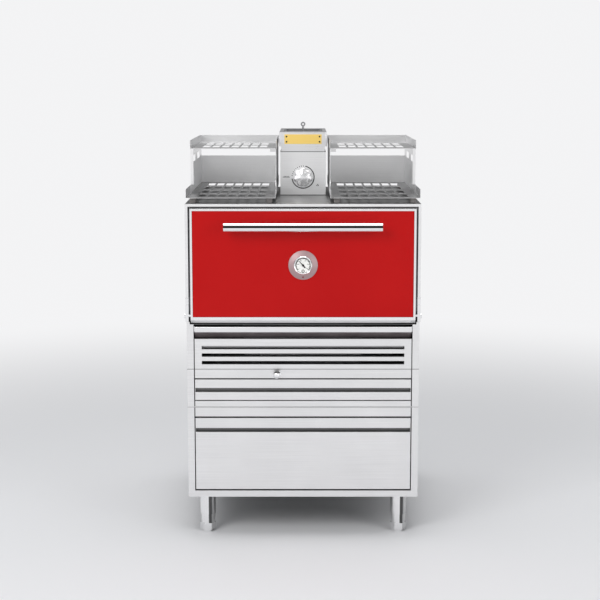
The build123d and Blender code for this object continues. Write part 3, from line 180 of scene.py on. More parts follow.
def steel(name, colour, rough, along="x", line=0.10, spread=0.10, bump=0.04, smudge=0.05):
    """Brushed stainless sheet: fine grain lines, slow roughness drift from handling, faint cloudiness."""
    mat, tree, shader = material(name)
    shader.inputs["Metallic"].default_value = 1.0
    coords = texture_coords(tree)
    lines = grain(tree, coords, axes(tree, coords), along)
    cloud = node(tree, "ShaderNodeTexNoise", Scale=5.0, Detail=4.0, Roughness=0.55)
    join(tree, coords, "Object", cloud, "Vector")
    low = tuple(max(0.0, c - line) for c in colour)
    high = tuple(min(1.0, c + line * 0.4) for c in colour)
    tint = ramp(tree, lines, "Fac", [(0.30, low), (0.70, high)])
    haze = ramp(tree, cloud, "Fac", [(0.30, 1.0 - smudge), (0.70, 1.0)])
    toned = multiply(tree, tint.outputs["Color"], haze.outputs["Color"])
    tree.links.new(toned, shader.inputs["Base Color"])
    drift = math_node(tree, "MULTIPLY_ADD", (cloud, "Fac"), spread, rough - spread / 2)
    fine = math_node(tree, "MULTIPLY_ADD", (lines, "Fac"), spread * 0.7, (drift, 0))
    join(tree, fine, 0, shader, "Roughness")
    ridge = node(tree, "ShaderNodeBump", Strength=bump, Distance=0.0004)
    join(tree, lines, "Fac", ridge, "Height")
    join(tree, ridge, 0, shader, "Normal")
    return mat


def polished(name, colour, rough=0.07, smear=0.06):
    """Polished metal with faint wiping marks in its roughness and a barely uneven surface."""
    mat, tree, shader = material(name)
    shader.inputs["Metallic"].default_value = 1.0
    coords = texture_coords(tree)
    wipe = node(tree, "ShaderNodeTexNoise", Scale=18.0, Detail=6.0, Roughness=0.65, Distortion=0.6)
    join(tree, coords, "Object", wipe, "Vector")
    tint = ramp(tree, wipe, "Fac", [(0.25, tuple(c * 0.94 for c in colour)), (0.75, colour)])
    join(tree, tint, "Color", shader, "Base Color")
    marks = math_node(tree, "MULTIPLY_ADD", (wipe, "Fac"), smear, rough - smear * 0.4)
    join(tree, marks, 0, shader, "Roughness")
    wave = node(tree, "ShaderNodeBump", Strength=0.02, Distance=0.001)
    join(tree, wipe, "Fac", wave, "Height")
    join(tree, wave, 0, shader, "Normal")
    return mat


def rough_stuff(name, colour, shade, rough, scale, bump, metal=0.0, distance=0.001):
    """Cast iron, sooty steel, rubber, rope, wool or ink: two tones, broken up, with a matching relief."""
    mat, tree, shader = material(name)
    shader.inputs["Metallic"].default_value = metal
    coords = texture_coords(tree)
    lumps = node(tree, "ShaderNodeTexNoise", Scale=scale, Detail=8.0, Roughness=0.65)
    join(tree, coords, "Object", lumps, "Vector")
    tint = ramp(tree, lumps, "Fac", [(0.3, shade), (0.7, colour)])
    join(tree, tint, "Color", shader, "Base Color")
    tone = math_node(tree, "MULTIPLY_ADD", (lumps, "Fac"), 0.2, rough - 0.1)
    join(tree, tone, 0, shader, "Roughness")
    relief = node(tree, "ShaderNodeBump", Strength=bump, Distance=distance)
    join(tree, lumps, "Fac", relief, "Height")
    join(tree, relief, 0, shader, "Normal")
    return mat


# Materials
front_steel = steel("front_steel", (0.90, 0.90, 0.905), 0.30)
casing_steel = steel("casing_steel", (0.92, 0.92, 0.925), 0.32)
flue_steel = steel("flue_steel", (0.90, 0.90, 0.905), 0.32)
cap_steel = steel("cap_steel", (0.84, 0.84, 0.85), 0.26)
rack_steel = steel("rack_steel", (0.90, 0.90, 0.905), 0.30, line=0.06, bump=0.03)
# Upper trays: a darker copy of the rack steel, painted shade.
shaded_shelf_steel = steel("shaded_shelf_steel", (0.74, 0.74, 0.745), 0.30, line=0.06, bump=0.03)
tray_steel = steel("tray_steel", (0.88, 0.88, 0.885), 0.30, line=0.06, bump=0.03)
inner_steel = steel("inner_steel", (0.50, 0.50, 0.51), 0.40)
tube_steel = steel("tube_steel", (0.96, 0.96, 0.965), 0.13, along="z", line=0.04, spread=0.05)
turned_steel = steel("turned_steel", (0.62, 0.62, 0.63), 0.25)
hook_steel = polished("hook_steel", (0.40, 0.40, 0.41), 0.30, 0.08)
ball_steel = polished("ball_steel", (0.95, 0.95, 0.96), 0.30, 0.08)
knob_steel = polished("knob_steel", (0.97, 0.97, 0.98), 0.26, 0.10)
# Gauge flange: steel darkened and tinted pink by a painted reflection of the red door.
ring_steel_painted_reflection = polished("ring_steel_painted_reflection", (0.45, 0.32, 0.33), 0.46, 0.10)
bright_steel = polished("bright_steel", (0.90, 0.90, 0.91), 0.08)
trim_steel = polished("trim_steel", (0.92, 0.92, 0.93), 0.16)
chrome = polished("chrome", (0.92, 0.92, 0.93), 0.05, 0.04)
screw_steel = polished("screw_steel", (0.07, 0.05, 0.03), 0.35)
sooty, burnt = (0.07, 0.06, 0.055), (0.02, 0.018, 0.017)
firebox_steel = rough_stuff("firebox_steel", sooty, burnt, 0.65, 30.0, 0.3, 0.6)
grate_iron = rough_stuff("grate_iron", (0.06, 0.06, 0.06), (0.02, 0.02, 0.02), 0.7, 120.0, 0.4, 0.5)
mineral_wool = rough_stuff("mineral_wool", (0.62, 0.58, 0.48), (0.42, 0.38, 0.30), 0.95, 160.0, 0.8)
seal_rope = rough_stuff("seal_rope", (0.16, 0.15, 0.14), (0.05, 0.05, 0.05), 0.9, 320.0, 0.8)
pad_rubber = rough_stuff("pad_rubber", (0.36, 0.34, 0.33), (0.28, 0.26, 0.25), 0.70, 200.0, 0.3)
ink = rough_stuff("print_ink", (0.014, 0.014, 0.014), (0.008, 0.008, 0.008), 0.6, 200.0, 0.1)
ink.node_tree.nodes["Principled BSDF"].inputs["Specular IOR Level"].default_value = 0.05


# Painted shade: depths in metres below a face, and the share of the colour that stays
skin_from = 0.0002
skin_to = 0.0008
front_skin_from = 0.0012
front_skin_to = 0.0050
gap_shade_share = 0.22
roof_shade_share = 0.34
flue_shadow_share = 0.25
seam_blur = 0.0004


def shade_steel(mat, mask, share):
    """Darkens a steel to a share of its colour where a mask socket is one."""
    tree = mat.node_tree
    shader = tree.nodes["Principled BSDF"]
    amount = math_node(tree, "MULTIPLY_ADD", (mask, 0), share - 1.0, 1.0)
    shaded = multiply(tree, base_colour(shader), amount.outputs[0])
    tree.links.new(shaded, shader.inputs["Base Color"])


def painted_gap_shade(mat, outer, roof=None):
    """Painted shade in the gaps: metal behind the front face and inside the outer and back walls is darkened
    where shade falls.
    """
    tree = mat.node_tree
    split = axes(tree, texture_coords(tree))
    behind = slope(tree, split, "Y", front_y + front_skin_from, front_y + front_skin_to)
    ahead = slope(tree, split, "Y", rear_y - skin_from, rear_y - skin_to)
    beside = math_node(tree, "ABSOLUTE", (split, "X"))
    within = slope(tree, beside, 0, outer - skin_from, outer - skin_to)
    mask = math_node(tree, "MULTIPLY", (behind, 0), (within, 0))
    mask = math_node(tree, "MULTIPLY", (mask, 0), (ahead, 0))
    if roof:
        below = slope(tree, split, "Z", roof - skin_from, roof - skin_to)
        mask = math_node(tree, "MULTIPLY", (mask, 0), (below, 0))
    shade_steel(mat, mask, gap_shade_share)


def painted_roof_shade(mat, roof):
    """Painted shade: the oven's roof is darker than its sides."""
    tree = mat.node_tree
    split = axes(tree, texture_coords(tree))
    above = slope(tree, split, "Z", roof - 0.0015, roof - 0.0005)
    behind = slope(tree, split, "Y", front_y + 0.003, front_y + 0.012)
    mask = math_node(tree, "MULTIPLY", (above, 0), (behind, 0))
    shade_steel(mat, mask, roof_shade_share)


def flue_shadow_lines(mat):
    """Painted shadow lines along the flue's top seam and where it stands on the roof."""
    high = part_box("flue_box")[1]
    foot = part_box("oven_casing")[1].z
    tree = mat.node_tree
    split = axes(tree, texture_coords(tree))
    top = slope(tree, split, "Z", high.z - 0.0030, high.z - 0.0018)
    under = slope(tree, split, "Z", foot + 0.0040, foot + 0.0025)
    mask = math_node(tree, "MAXIMUM", (top, 0), (under, 0))
    shade_steel(mat, mask, flue_shadow_share)


def seam(mat, height, half, share):
    """A painted shadow line at one height, where one sheet ends above another."""
    tree = mat.node_tree
    split = axes(tree, texture_coords(tree))
    away = math_node(tree, "SUBTRACT", (split, "Z"), height)
    away = math_node(tree, "ABSOLUTE", (away, 0))
    mask = slope(tree, away, 0, half + seam_blur, half - seam_blur)
    shade_steel(mat, mask, share)


def painted_light_bands(mat, axis, stops):
    """Painted reflections and shade: multiplies a metal's colour by tones over one component of the surface's
    direction, from -1 to 1.
    """
    tree = mat.node_tree
    shader = tree.nodes["Principled BSDF"]
    split = axes(tree, texture_coords(tree), "Normal")
    share = math_node(tree, "MULTIPLY_ADD", (split, axis), 0.5, 0.5)
    tones = ramp(tree, share, 0, [(0.5 + 0.5 * at, tone) for at, tone in stops])
    toned = multiply(tree, base_colour(shader), tones.outputs["Color"])
    tree.links.new(toned, shader.inputs["Base Color"])


def painted_pale_underside(mat):
    """Painted reflection: the bevel that faces down is made mostly non-metallic, so its colour shows pale
    rather than mirror bright.
    """
    tree = mat.node_tree
    shader = tree.nodes["Principled BSDF"]
    split = axes(tree, texture_coords(tree), "Normal")
    mask = slope(tree, split, "Z", -0.35, -0.60)
    metal = math_node(tree, "MULTIPLY_ADD", (mask, 0), -0.85, 1.0)
    join(tree, metal, 0, shader, "Metallic")


def enamel():
    """Glossy red enamel: deep colour, faint orange peel, a little unevenness in its gloss."""
    mat, tree, shader = material("enamel_red")
    coords = texture_coords(tree)
    cloud = node(tree, "ShaderNodeTexNoise", Scale=2.2, Detail=3.0, Roughness=0.5)
    join(tree, coords, "Object", cloud, "Vector")
    tint = ramp(tree, cloud, "Fac", [(0.25, (0.47, 0.003, 0.004)), (0.75, (0.53, 0.006, 0.006))])
    join(tree, tint, "Color", shader, "Base Color")
    peel = node(tree, "ShaderNodeTexNoise", Scale=260.0, Detail=2.0, Roughness=0.4)
    join(tree, coords, "Object", peel, "Vector")
    wipe = node(tree, "ShaderNodeTexNoise", Scale=9.0, Detail=5.0, Roughness=0.6, Distortion=0.8)
    join(tree, coords, "Object", wipe, "Vector")
    tone = math_node(tree, "MULTIPLY_ADD", (wipe, "Fac"), 0.10, 0.16)
    join(tree, tone, 0, shader, "Roughness")
    shader.inputs["Specular IOR Level"].default_value = 0.10
    shader.inputs["Coat Weight"].default_value = 0.05
    shader.inputs["Coat Roughness"].default_value = 0.06
    relief = node(tree, "ShaderNodeBump", Strength=0.03, Distance=0.0004)
    join(tree, peel, "Fac", relief, "Height")
    join(tree, relief, 0, shader, "Normal")
    return mat


# The ledge's nose, above its lowest edge
nose_height = 0.0260
nose_blur = 0.0015


def ledge():
    """Brushed steel whose undercut face below the nose carries painted shade, with a reddish painted
    reflection of the door.
    """
    mat = steel("ledge_steel", (0.92, 0.92, 0.93), 0.28)
    tree = mat.node_tree
    shader = tree.nodes["Principled BSDF"]
    coords = texture_coords(tree)
    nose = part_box("front_ledge")[0].z + nose_height
    # Painted shade below the nose, tinted by a painted reflection of the red door, broken up by noise and
    # less metallic there.
    edge = slope(tree, axes(tree, coords), "Z", nose - nose_blur, nose + nose_blur)
    shade_mottle = node(tree, "ShaderNodeTexNoise", Scale=14.0, Detail=5.0, Roughness=0.6)
    join(tree, coords, "Object", shade_mottle, "Vector")
    dark = ramp(tree, shade_mottle, "Fac", [(0.3, (0.115, 0.095, 0.100)), (0.75, (0.185, 0.160, 0.165))])
    mixed = mix_colours(tree, dark.outputs["Color"], base_colour(shader))
    tree.links.new(edge.outputs[0], mixed.inputs[mix_factor])
    tree.links.new(mixed.outputs[mix_result], shader.inputs["Base Color"])
    metal = math_node(tree, "MULTIPLY_ADD", (edge, 0), 0.8, 0.2)
    join(tree, metal, 0, shader, "Metallic")
    return mat


def gold():
    """Satin gold plate with fine horizontal grain."""
    return steel("plate_gold", (1.00, 0.72, 0.22), 0.36, line=0.03, smudge=0.02, bump=0.03)


def paper_white():
    """White printed dial, very slightly mottled."""
    mat, tree, shader = material("dial_white")
    coords = texture_coords(tree)
    fine = node(tree, "ShaderNodeTexNoise", Scale=180.0, Detail=3.0, Roughness=0.5)
    join(tree, coords, "Object", fine, "Vector")
    tint = ramp(tree, fine, "Fac", [(0.3, (0.80, 0.80, 0.77)), (0.7, (0.88, 0.88, 0.86))])
    join(tree, tint, "Color", shader, "Base Color")
    tone = math_node(tree, "MULTIPLY_ADD", (fine, "Fac"), 0.1, 0.45)
    join(tree, tone, 0, shader, "Roughness")
    return mat


def clear_glass():
    """Flat gauge glass with faint smears."""
    mat, tree, shader = material("gauge_glass")
    coords = texture_coords(tree)
    smear = node(tree, "ShaderNodeTexNoise", Scale=40.0, Detail=5.0, Roughness=0.6, Distortion=0.7)
    join(tree, coords, "Object", smear, "Vector")
    tone = math_node(tree, "MULTIPLY_ADD", (smear, "Fac"), 0.012, 0.0)
    join(tree, tone, 0, shader, "Roughness")
    shader.inputs["Base Color"].default_value = (1, 1, 1, 1)
    shader.inputs["Transmission Weight"].default_value = 1.0
    shader.inputs["IOR"].default_value = 1.05
    return mat


enamel_red = enamel()
# Painted shade in the gaps behind the front panels and inside the casing's walls.
painted_gap_shade(front_steel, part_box("base_casing")[1].x)
painted_gap_shade(casing_steel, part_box("oven_casing")[1].x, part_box("oven_casing")[1].z)
# Painted shade on the oven's roof.
painted_roof_shade(casing_steel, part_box("oven_casing")[1].z)
# Painted shadow lines at the flue's seams.
flue_shadow_lines(flue_steel)
# Painted shadow lines at the tops of the draught panel and the base casing.
seam(front_steel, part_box("draught_panel")[1].z, 0.0012, 0.30)
seam(front_steel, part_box("base_casing")[1].z, 0.0009, 0.50)
# Painted reflection: a dark band round the handle's chrome.
painted_light_bands(chrome, "Z", [(-1.0, 1.0), (-0.08, 1.0), (0.00, 0.03), (0.46, 0.03), (0.54, 1.0), (1.0, 1.0)])
# Painted shade on the lower trays' faces that look up.
painted_light_bands(tray_steel, "Z", [(-1.0, 1.0), (0.60, 1.0), (0.90, 0.42), (1.0, 0.42)])
# Painted reflection: a dark band along one side of each leg.
painted_light_bands(tube_steel, "X", [(-1.0, 1.0), (0.12, 1.0), (0.20, 0.10), (0.52, 0.10), (0.68, 0.55), (1.0, 0.75)])
# Painted reflection: a dark arc over the top of the draught knob.
painted_light_bands(ball_steel, "Z", [(-1.0, 1.0), (0.42, 1.0), (0.58, 0.12), (0.90, 0.12), (1.0, 0.5)])
# Painted reflection: the trim's down-facing bevel shows pale.
painted_pale_underside(trim_steel)
ledge_steel = ledge()
plate_gold = gold()
dial_white = paper_white()
gauge_glass = clear_glass()

by_slot = {
    "stainless": front_steel, "ledge_steel": ledge_steel,
    "folded_sheet": inner_steel, "rack_steel": rack_steel,
    "polished_steel": bright_steel, "turned_steel": turned_steel, "leg_steel": tube_steel,
    "enamel_red": enamel_red, "firebox_steel": firebox_steel, "grate_iron": grate_iron,
    "mineral_wool": mineral_wool, "seal_rope": seal_rope, "dial_white": dial_white, "needle_black": ink,
    "gauge_glass": gauge_glass, "plate_gold": plate_gold, "pad_rubber": pad_rubber,
}
by_node = {
    "door_trim": trim_steel, "handle_tube": chrome, "oven_casing": casing_steel,
    "flue_box": flue_steel, "flue_cap": cap_steel, "damper_dial": flue_steel,
    "gauge_case": bright_steel, "gauge_flange": ring_steel_painted_reflection,
    "spark_arrestor": hook_steel, "draught_knob": ball_steel,
    "rack_left_upper_tray": shaded_shelf_steel, "rack_right_upper_tray": shaded_shelf_steel,
    "rack_left_lower_tray": tray_steel, "rack_right_lower_tray": tray_steel,
}
slot_of = {part["node"]: part["material_slot"] for part in frame["record"]["subparts"]}

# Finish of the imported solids: welded seams and slightly rounded edges
thin_nodes = {"gauge_needle", "gauge_glass", "gauge_dial"}
weld_reach = 0.00002
edge_round = 0.0006
thin_edge_round = 0.00025
sharp_above = math.radians(32)
for name, solid in nodes.items():
    chosen = by_node.get(name, by_slot[slot_of[name]])
    solid.data.materials.clear()
    solid.data.materials.append(chosen)
    solid.data.polygons.foreach_set("use_smooth", [True] * len(solid.data.polygons))
    if "custom_normal" in solid.data.attributes:
        solid.data.attributes.remove(solid.data.attributes["custom_normal"])
    weld = solid.modifiers.new("Weld", "WELD")
    weld.merge_threshold = weld_reach
    bevel = solid.modifiers.new("Edges", "BEVEL")
    bevel.width = thin_edge_round if name in thin_nodes else edge_round
    bevel.segments = 2
    bevel.limit_method = "ANGLE"
    bevel.angle_limit = sharp_above
    bevel.harden_normals = True


# Mesh helpers
def piece(name, bm, mat, body, smooth=True):
    mesh = bpy.data.meshes.new(name)
    bmesh.ops.recalc_face_normals(bm, faces=bm.faces)
    bm.to_mesh(mesh)
    bm.free()
    mesh.materials.append(mat)
    mesh.polygons.foreach_set("use_smooth", [smooth] * len(mesh.polygons))
    made = bpy.data.objects.new(name, mesh)
    bpy.context.collection.objects.link(made)
    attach(made, body)
    return made


def facing(centre):
    """Turns a flat drawing (x right, y up, z towards the viewer) into the oven's front at a centre."""
    return Matrix.Translation(centre) @ Matrix.Rotation(math.radians(90), 4, "X")


def revolve(profile, steps, radius=None):
    """A turned form from (radius, height) points; radius(r, height, angle) may change it round the axis."""
    bm = bmesh.new()
    rings = []
    for r, h in profile:
        ring = []
        for index in range(steps):
            angle = 2 * math.pi * index / steps
            wide = radius(r, h, angle) if radius else r
            ring.append(bm.verts.new((wide * math.sin(angle), wide * math.cos(angle), h)))
        rings.append(ring)
    for low, high in zip(rings, rings[1:]):
        for index in range(steps):
            after = (index + 1) % steps
            bm.faces.new((low[index], low[after], high[after], high[index]))
    bm.faces.new(rings[0])
    bm.faces.new(list(reversed(rings[-1])))
    return bm


# Damper knob: radii as shares of its own radius, heights as shares of its depth
knob_lobes = 7
knob_steps = 168
foot_radius = 0.97
side_height = 0.55
face_radius = 0.84
face_height = 0.82
tip_radius = 0.02
dome_rise = 0.165
lobe_depth = 0.17
lobe_sharpness = 0.7
full_lobes_from = 0.75


def knob():
    """Cast and polished knob with lobes and a domed face."""
    outer = (knob_high.x - knob_low.x) / 2
    deep = knob_high.y - knob_low.y
    profile = []
    for step in range(9):
        profile.append((foot_radius + (1.0 - foot_radius) * step / 8, deep * side_height * step / 8))
    for step in range(1, 13):
        turn = math.pi / 2 * step / 12
        height = side_height + (face_height - side_height) * math.sin(turn)
        profile.append((1.0 - (1.0 - face_radius) * (1 - math.cos(turn)), deep * height))
    for step in range(1, 9):
        share = step / 8
        height = face_height + dome_rise * math.sin(math.pi / 2 * share)
        profile.append((face_radius - (face_radius - tip_radius) * share, deep * height))

    def lobed(r, h, angle):
        wave = 0.5 + 0.5 * math.cos(knob_lobes * angle)
        valley = 1 - lobe_depth * (1 - wave ** lobe_sharpness) * min(1.0, r / full_lobes_from)
        return outer * r * valley

    bm = revolve(profile, knob_steps, lobed)
    middle = Vector((damper_centre.x, knob_high.y, damper_centre.z))
    bmesh.ops.transform(bm, matrix=facing(middle), verts=bm.verts)
    made = piece("damper_knob_polished", bm, knob_steel, "damper")
    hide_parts("damper_knob")


knob()


# Screws of the plate on the flue's cap
screw_radius = 0.0036
screw_rim = 0.0006
screw_dome = 0.0012
cross_half = 0.0005
cross_reach = 0.0026
cross_floor = 0.0012
screw_inset_x = 0.0085
screw_inset_z = 0.0090


def plate_screws():
    """Four small domed screw heads with a cross slot, at the plate's corners."""
    low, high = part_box("cap_plate")
    for index, (x, z) in enumerate([(low.x, low.z), (high.x, low.z), (low.x, high.z), (high.x, high.z)]):
        inward_x = screw_inset_x if x == low.x else -screw_inset_x
        inward_z = screw_inset_z if z == low.z else -screw_inset_z
        profile = [(screw_radius, 0.0), (screw_radius, screw_rim)]
        for step in range(1, 7):
            turn = math.pi / 2 * step / 7
            profile.append((screw_radius * math.cos(turn), screw_rim + screw_dome * math.sin(turn)))
        bm = revolve(profile, 28)
        for face in bm.faces:
            centre = face.calc_center_median()
            near_slot = min(abs(centre.x), abs(centre.y)) < cross_half and centre.length < cross_reach
            if near_slot and centre.z > cross_floor:
                for vert in face.verts:
                    vert.co.z = min(vert.co.z, cross_floor)
        middle = Vector((x + inward_x, low.y, z + inward_z))
        bmesh.ops.transform(bm, matrix=facing(middle), verts=bm.verts)
        piece("plate_screw_%d" % index, bm, screw_steel, "oven")


plate_screws()


# Prints on the dials, each a hair above its face
ink_lift = 0.00004
number_lift = 0.00005
lacquer_lift = 0.00008


def print_marks(name, marks, centre, body):
    """Flat printed strokes. Each mark is (x, y, length, width, turn in degrees)."""
    bm = bmesh.new()
    for x, y, length, width, turn in marks:
        spin = Matrix.Translation((x, y, 0)) @ Matrix.Rotation(math.radians(turn), 4, "Z")
        corners = [(-1, -1), (1, -1), (1, 1), (-1, 1)]
        places = [Vector((sx * width / 2, sy * length / 2, ink_lift)) for sx, sy in corners]
        bm.faces.new([bm.verts.new(spin @ spot) for spot in places])
    bmesh.ops.transform(bm, matrix=facing(centre), verts=bm.verts)
    piece(name, bm, ink, body, smooth=False)


def print_arc(name, inner, outer, start, sweep, y, centre, slot, body, steps=72):
    """A printed arc between two radii, clockwise from the top, in degrees."""
    bm = bmesh.new()
    rails = []
    for radius in (inner, outer):
        turns = [math.radians(start + sweep * i / steps) for i in range(steps + 1)]
        ring = [(radius * math.sin(a), radius * math.cos(a) + y, ink_lift) for a in turns]
        rails.append([bm.verts.new(spot) for spot in ring])
    for i in range(steps):
        bm.faces.new((rails[0][i], rails[1][i], rails[1][i + 1], rails[0][i + 1]))
    bmesh.ops.transform(bm, matrix=facing(centre), verts=bm.verts)
    piece(name, bm, ink, body, smooth=False)


def number(name, text, size, x, y, centre, body):
    """A printed number on a dial."""
    curve = bpy.data.curves.new(name, "FONT")
    curve.body = text
    curve.size = size
    curve.align_x = "CENTER"
    curve.align_y = "CENTER"
    made = bpy.data.objects.new(name, curve)
    bpy.context.collection.objects.link(made)
    made.matrix_world = facing(centre) @ Matrix.Translation((x, y, number_lift))
    bpy.context.view_layer.update()
    mesh = bpy.data.meshes.new_from_object(made)
    mesh.transform(made.matrix_world)
    bpy.data.objects.remove(made)
    mesh.materials.clear()
    mesh.materials.append(ink)
    solid = bpy.data.objects.new(name, mesh)
    bpy.context.collection.objects.link(solid)
    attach(solid, body)


# Thermometer scale: angles in degrees, clockwise from the top
scale_start = -130
scale_sweep = 260
tick_steps = 50
steps_per_fifty = 5
hundred_tick = 0.0046
fifty_tick = 0.0034
short_tick = 0.0022
wide_tick = 0.0014
thin_tick = 0.0008
tick_circle = 0.0264
number_circle = 0.0195
number_height = 0.0052
dial_rim_depth = 0.001
scale_line = (0.0262, 0.0282)
rim_line = (0.0289, 0.0297)
small_ring = (0.0034, 0.0058)
small_ring_y = -0.0222


def gauge_scale():
    """Arc of ticks with numbers from 0 to 500 round the thermometer's face."""
    marks = []
    for step in range(tick_steps + 1):
        angle = math.radians(scale_start + scale_sweep * step / tick_steps)
        fifty = step % steps_per_fifty == 0
        hundred = step % (2 * steps_per_fifty) == 0
        long = hundred_tick if hundred else (fifty_tick if fifty else short_tick)
        wide = wide_tick if fifty else thin_tick
        middle = tick_circle - long / 2
        marks.append((middle * math.sin(angle), middle * math.cos(angle), long, wide, -math.degrees(angle)))
    face_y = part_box("gauge_dial")[1].y - dial_rim_depth
    centre = Vector((0, face_y, gauge_centre.z))
    print_marks("gauge_ticks", marks, centre, "door")
    for step in range(6):
        angle = math.radians(scale_start + scale_sweep * step / 5)
        x = number_circle * math.sin(angle)
        y = number_circle * math.cos(angle)
        number("gauge_number_%d" % step, str(step * 100), number_height, x, y, centre, "door")
    print_arc("gauge_ring_mark", *small_ring, 0, 360, small_ring_y, centre, "dial_white", "door")
    print_arc("gauge_scale_line", *scale_line, scale_start, scale_sweep, 0, centre, "dial_white", "door")
    print_arc("gauge_rim_line", *rim_line, 0, 360, 0, centre, "dial_white", "door")


gauge_scale()


# Needle: (half width, reach from its spindle) below and above its round boss
needle_below = [(0.0024, -0.0128), (0.0026, -0.0034)]
needle_above = [(0.0018, 0.0056), (0.0008, 0.0225)]
boss_radius = 0.0044
boss_angles = (-0.6, -0.2, 0.2, 0.6, 1.0)


def needle_weight():
    """Black lacquered overlay that gives the needle its thick tail, round boss and thin tip."""
    low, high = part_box("gauge_needle")
    boss = [(boss_radius * math.cos(a), boss_radius * math.sin(a)) for a in boss_angles]
    right = needle_below + boss + needle_above
    left = [(-x, y) for x, y in reversed(right)]
    bm = bmesh.new()
    bm.faces.new([bm.verts.new((x, y, lacquer_lift)) for x, y in right + left])
    turned = Matrix.Rotation(math.atan2(-low.x, high.z - gauge_centre.z), 4, "Z")
    spot = Vector((0, low.y, gauge_centre.z))
    bmesh.ops.transform(bm, matrix=facing(spot) @ turned, verts=bm.verts)
    piece("gauge_needle_lacquer", bm, ink, "thermometer_needle", smooth=False)


needle_weight()


# Damper scale: angles in degrees, clockwise from the top
damper_tick_start = -82
damper_tick_sweep = 84
damper_tick_steps = 8
damper_tick_circle = 0.0452
damper_tick_length = 0.0042
damper_tick_width = 0.0024
damper_arc = (0.0434, 0.0472)
arc_start = 12
arc_sweep = 250
shut_mark_x = -0.0690


def damper_scale():
    """A heavy arc round the knob, ticks over its upper left, and marks for shut and open beside it."""
    centre = Vector((damper_centre.x, dial_low.y, damper_centre.z))
    marks = []
    for step in range(damper_tick_steps + 1):
        angle = math.radians(damper_tick_start + damper_tick_sweep * step / damper_tick_steps)
        x = damper_tick_circle * math.sin(angle)
        y = damper_tick_circle * math.cos(angle)
        marks.append((x, y, damper_tick_length, damper_tick_width, -math.degrees(angle)))
    print_marks("damper_ticks", marks, centre, "oven")
    print_arc("damper_arc", *damper_arc, arc_start, arc_sweep, 0, centre, "turned_steel", "oven")
    flue_face = Vector((damper_centre.x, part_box("flue_box")[0].y, damper_centre.z))
    side = [(shut_mark_x, 0.0, 0.0024, 0.028, 0)]
    side += [(shut_mark_x + offset, 0.0032, 0.0030, 0.0018, 0) for offset in (-0.008, -0.003, 0.003, 0.008)]
    side += [(0.057, -0.032, 0.009, 0.0018, -32), (0.062, -0.032, 0.009, 0.0018, 32)]
    side += [(0.0595, -0.0355, 0.0018, 0.008, 0)]
    print_marks("damper_side_marks", side, flue_face, "oven")


damper_scale()

# Camera, fitted to the photograph, whose frame is 600 pixels wide
frame_pixels = 600.0
focal_pixels = 1462.0
shift_pixels = -3.05
sensor_width = 36.0
camera_distance = 5.571
camera_height = 1.775
camera_pitch = 8.57
camera_data = bpy.data.cameras.new("camera")
camera = bpy.data.objects.new("camera", camera_data)
bpy.context.collection.objects.link(camera)
camera_data.sensor_width = sensor_width
camera_data.lens = focal_pixels / frame_pixels * sensor_width
camera_data.shift_x = shift_pixels / frame_pixels
camera_data.clip_end = 200.0
camera.location = (0.0, front_y - camera_distance, camera_height)
camera.rotation_euler = (math.radians(90 - camera_pitch), 0, 0)
bpy.context.scene.camera = camera

# Floor, which fades into the backdrop's tone away from the oven
floor_radius = 60.0
floor_drop = 0.0005
fade_from = 1.2
fade_to = 5.0
pale = (0.90, 0.90, 0.91)
floor_mesh = bmesh.new()
bmesh.ops.create_circle(floor_mesh, cap_ends=True, radius=floor_radius, segments=64)
floor_data = bpy.data.meshes.new("studio_floor")
floor_mesh.to_mesh(floor_data)
floor_mesh.free()
studio_floor = bpy.data.objects.new("studio_floor", floor_data)
bpy.context.collection.objects.link(studio_floor)
studio_floor.location = (0, 0, -floor_drop)

floor_mat = bpy.data.materials.new("studio_floor")
floor_mat.use_nodes = True
tree = floor_mat.node_tree
shader = tree.nodes["Principled BSDF"]
shader.inputs["Base Color"].default_value = (0.88, 0.88, 0.89, 1)
shader.inputs["Roughness"].default_value = 0.85
shader.inputs["Specular IOR Level"].default_value = 0.1
far = node(tree, "ShaderNodeVectorMath", operation="LENGTH")
join(tree, texture_coords(tree), "Object", far, 0)
fade = node(tree, "ShaderNodeMapRange", interpolation_type="SMOOTHSTEP")
fade.inputs["From Min"].default_value = fade_from
fade.inputs["From Max"].default_value = fade_to
tree.links.new(far.outputs["Value"], fade.inputs["Value"])
glow = node(tree, "ShaderNodeEmission", Color=(*pale, 1), Strength=1.0)
blend = tree.nodes.new("ShaderNodeMixShader")
tree.links.new(fade.outputs[0], blend.inputs[0])
tree.links.new(shader.outputs[0], blend.inputs[1])
tree.links.new(glow.outputs[0], blend.inputs[2])
tree.links.new(blend.outputs[0], tree.nodes["Material Output"].inputs["Surface"])
floor_data.materials.append(floor_mat)

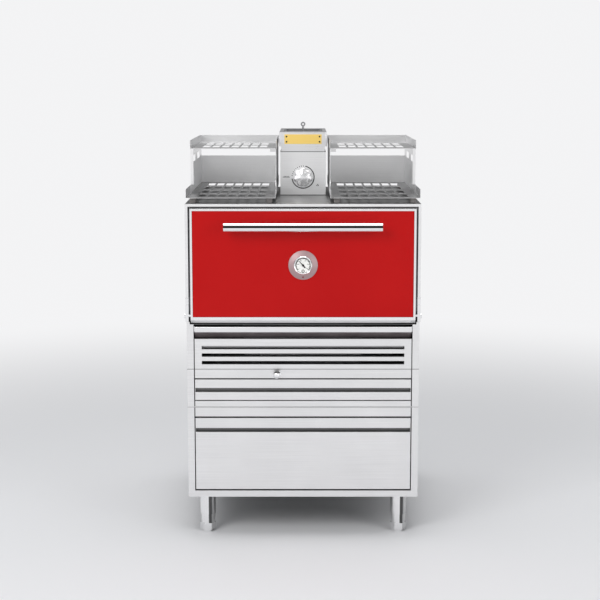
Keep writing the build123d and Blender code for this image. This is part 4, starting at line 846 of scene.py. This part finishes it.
# Light. Glossy rays see darker walls low above the horizon, and camera and transmission rays a pale backdrop.
world = bpy.data.worlds.new("studio")
bpy.context.scene.world = world
world.use_nodes = True
tree = world.node_tree
back_shade = tree.nodes["Background"]
back_shade.inputs["Color"].default_value = (0.95, 0.97, 1.0, 1)
back_shade.inputs["Strength"].default_value = 0.42
split = axes(tree, texture_coords(tree), "Generated")
heights = (0.0, 0.04, 0.11, 0.46, 0.60, 1.0)
behind = ramp(tree, split, "Z", list(zip(heights, (0.90, 0.55, 0.12, 0.12, 1.0, 1.0))))
before = ramp(tree, split, "Z", list(zip(heights, (0.92, 0.80, 0.48, 0.48, 1.0, 1.0))))
walls = mix_colours(tree, behind.outputs["Color"], before.outputs["Color"])
join(tree, slope(tree, split, "Y", 0.15, -0.15), 0, walls, mix_factor)
seen = node(tree, "ShaderNodeBackground", Strength=1.0)
tree.links.new(walls.outputs[mix_result], seen.inputs["Color"])
plain = node(tree, "ShaderNodeBackground", Color=(*pale, 1), Strength=1.0)
light = tree.nodes.new("ShaderNodeLightPath")
first = tree.nodes.new("ShaderNodeMixShader")
tree.links.new(light.outputs["Is Glossy Ray"], first.inputs[0])
tree.links.new(back_shade.outputs[0], first.inputs[1])
tree.links.new(seen.outputs[0], first.inputs[2])
second = tree.nodes.new("ShaderNodeMixShader")
either = math_node(tree, "MAXIMUM", (light, "Is Camera Ray"), (light, "Is Transmission Ray"))
tree.links.new(either.outputs[0], second.inputs[0])
tree.links.new(first.outputs[0], second.inputs[1])
tree.links.new(plain.outputs[0], second.inputs[2])
tree.links.new(second.outputs[0], tree.nodes["World Output"].inputs["Surface"])


def lamp(name, spot, aim, size, power):
    data = bpy.data.lights.new(name, "AREA")
    data.shape = "RECTANGLE"
    data.size, data.size_y = size
    data.energy = power
    made = bpy.data.objects.new(name, data)
    bpy.context.collection.objects.link(made)
    made.location = spot
    made.rotation_euler = (Vector(aim) - Vector(spot)).to_track_quat("-Z", "Y").to_euler()


lamp("key_light", (-2.6, -4.2, 3.4), (0, 0, 0.9), (2.6, 2.6), 95)
lamp("fill_light", (3.4, -3.6, 2.2), (0, 0, 0.9), (2.4, 2.8), 45)
lamp("top_light", (0.0, 0.3, 4.6), (0, 0, 0.9), (3.0, 3.0), 62)

bpy.context.scene.view_settings.view_transform = "Standard"
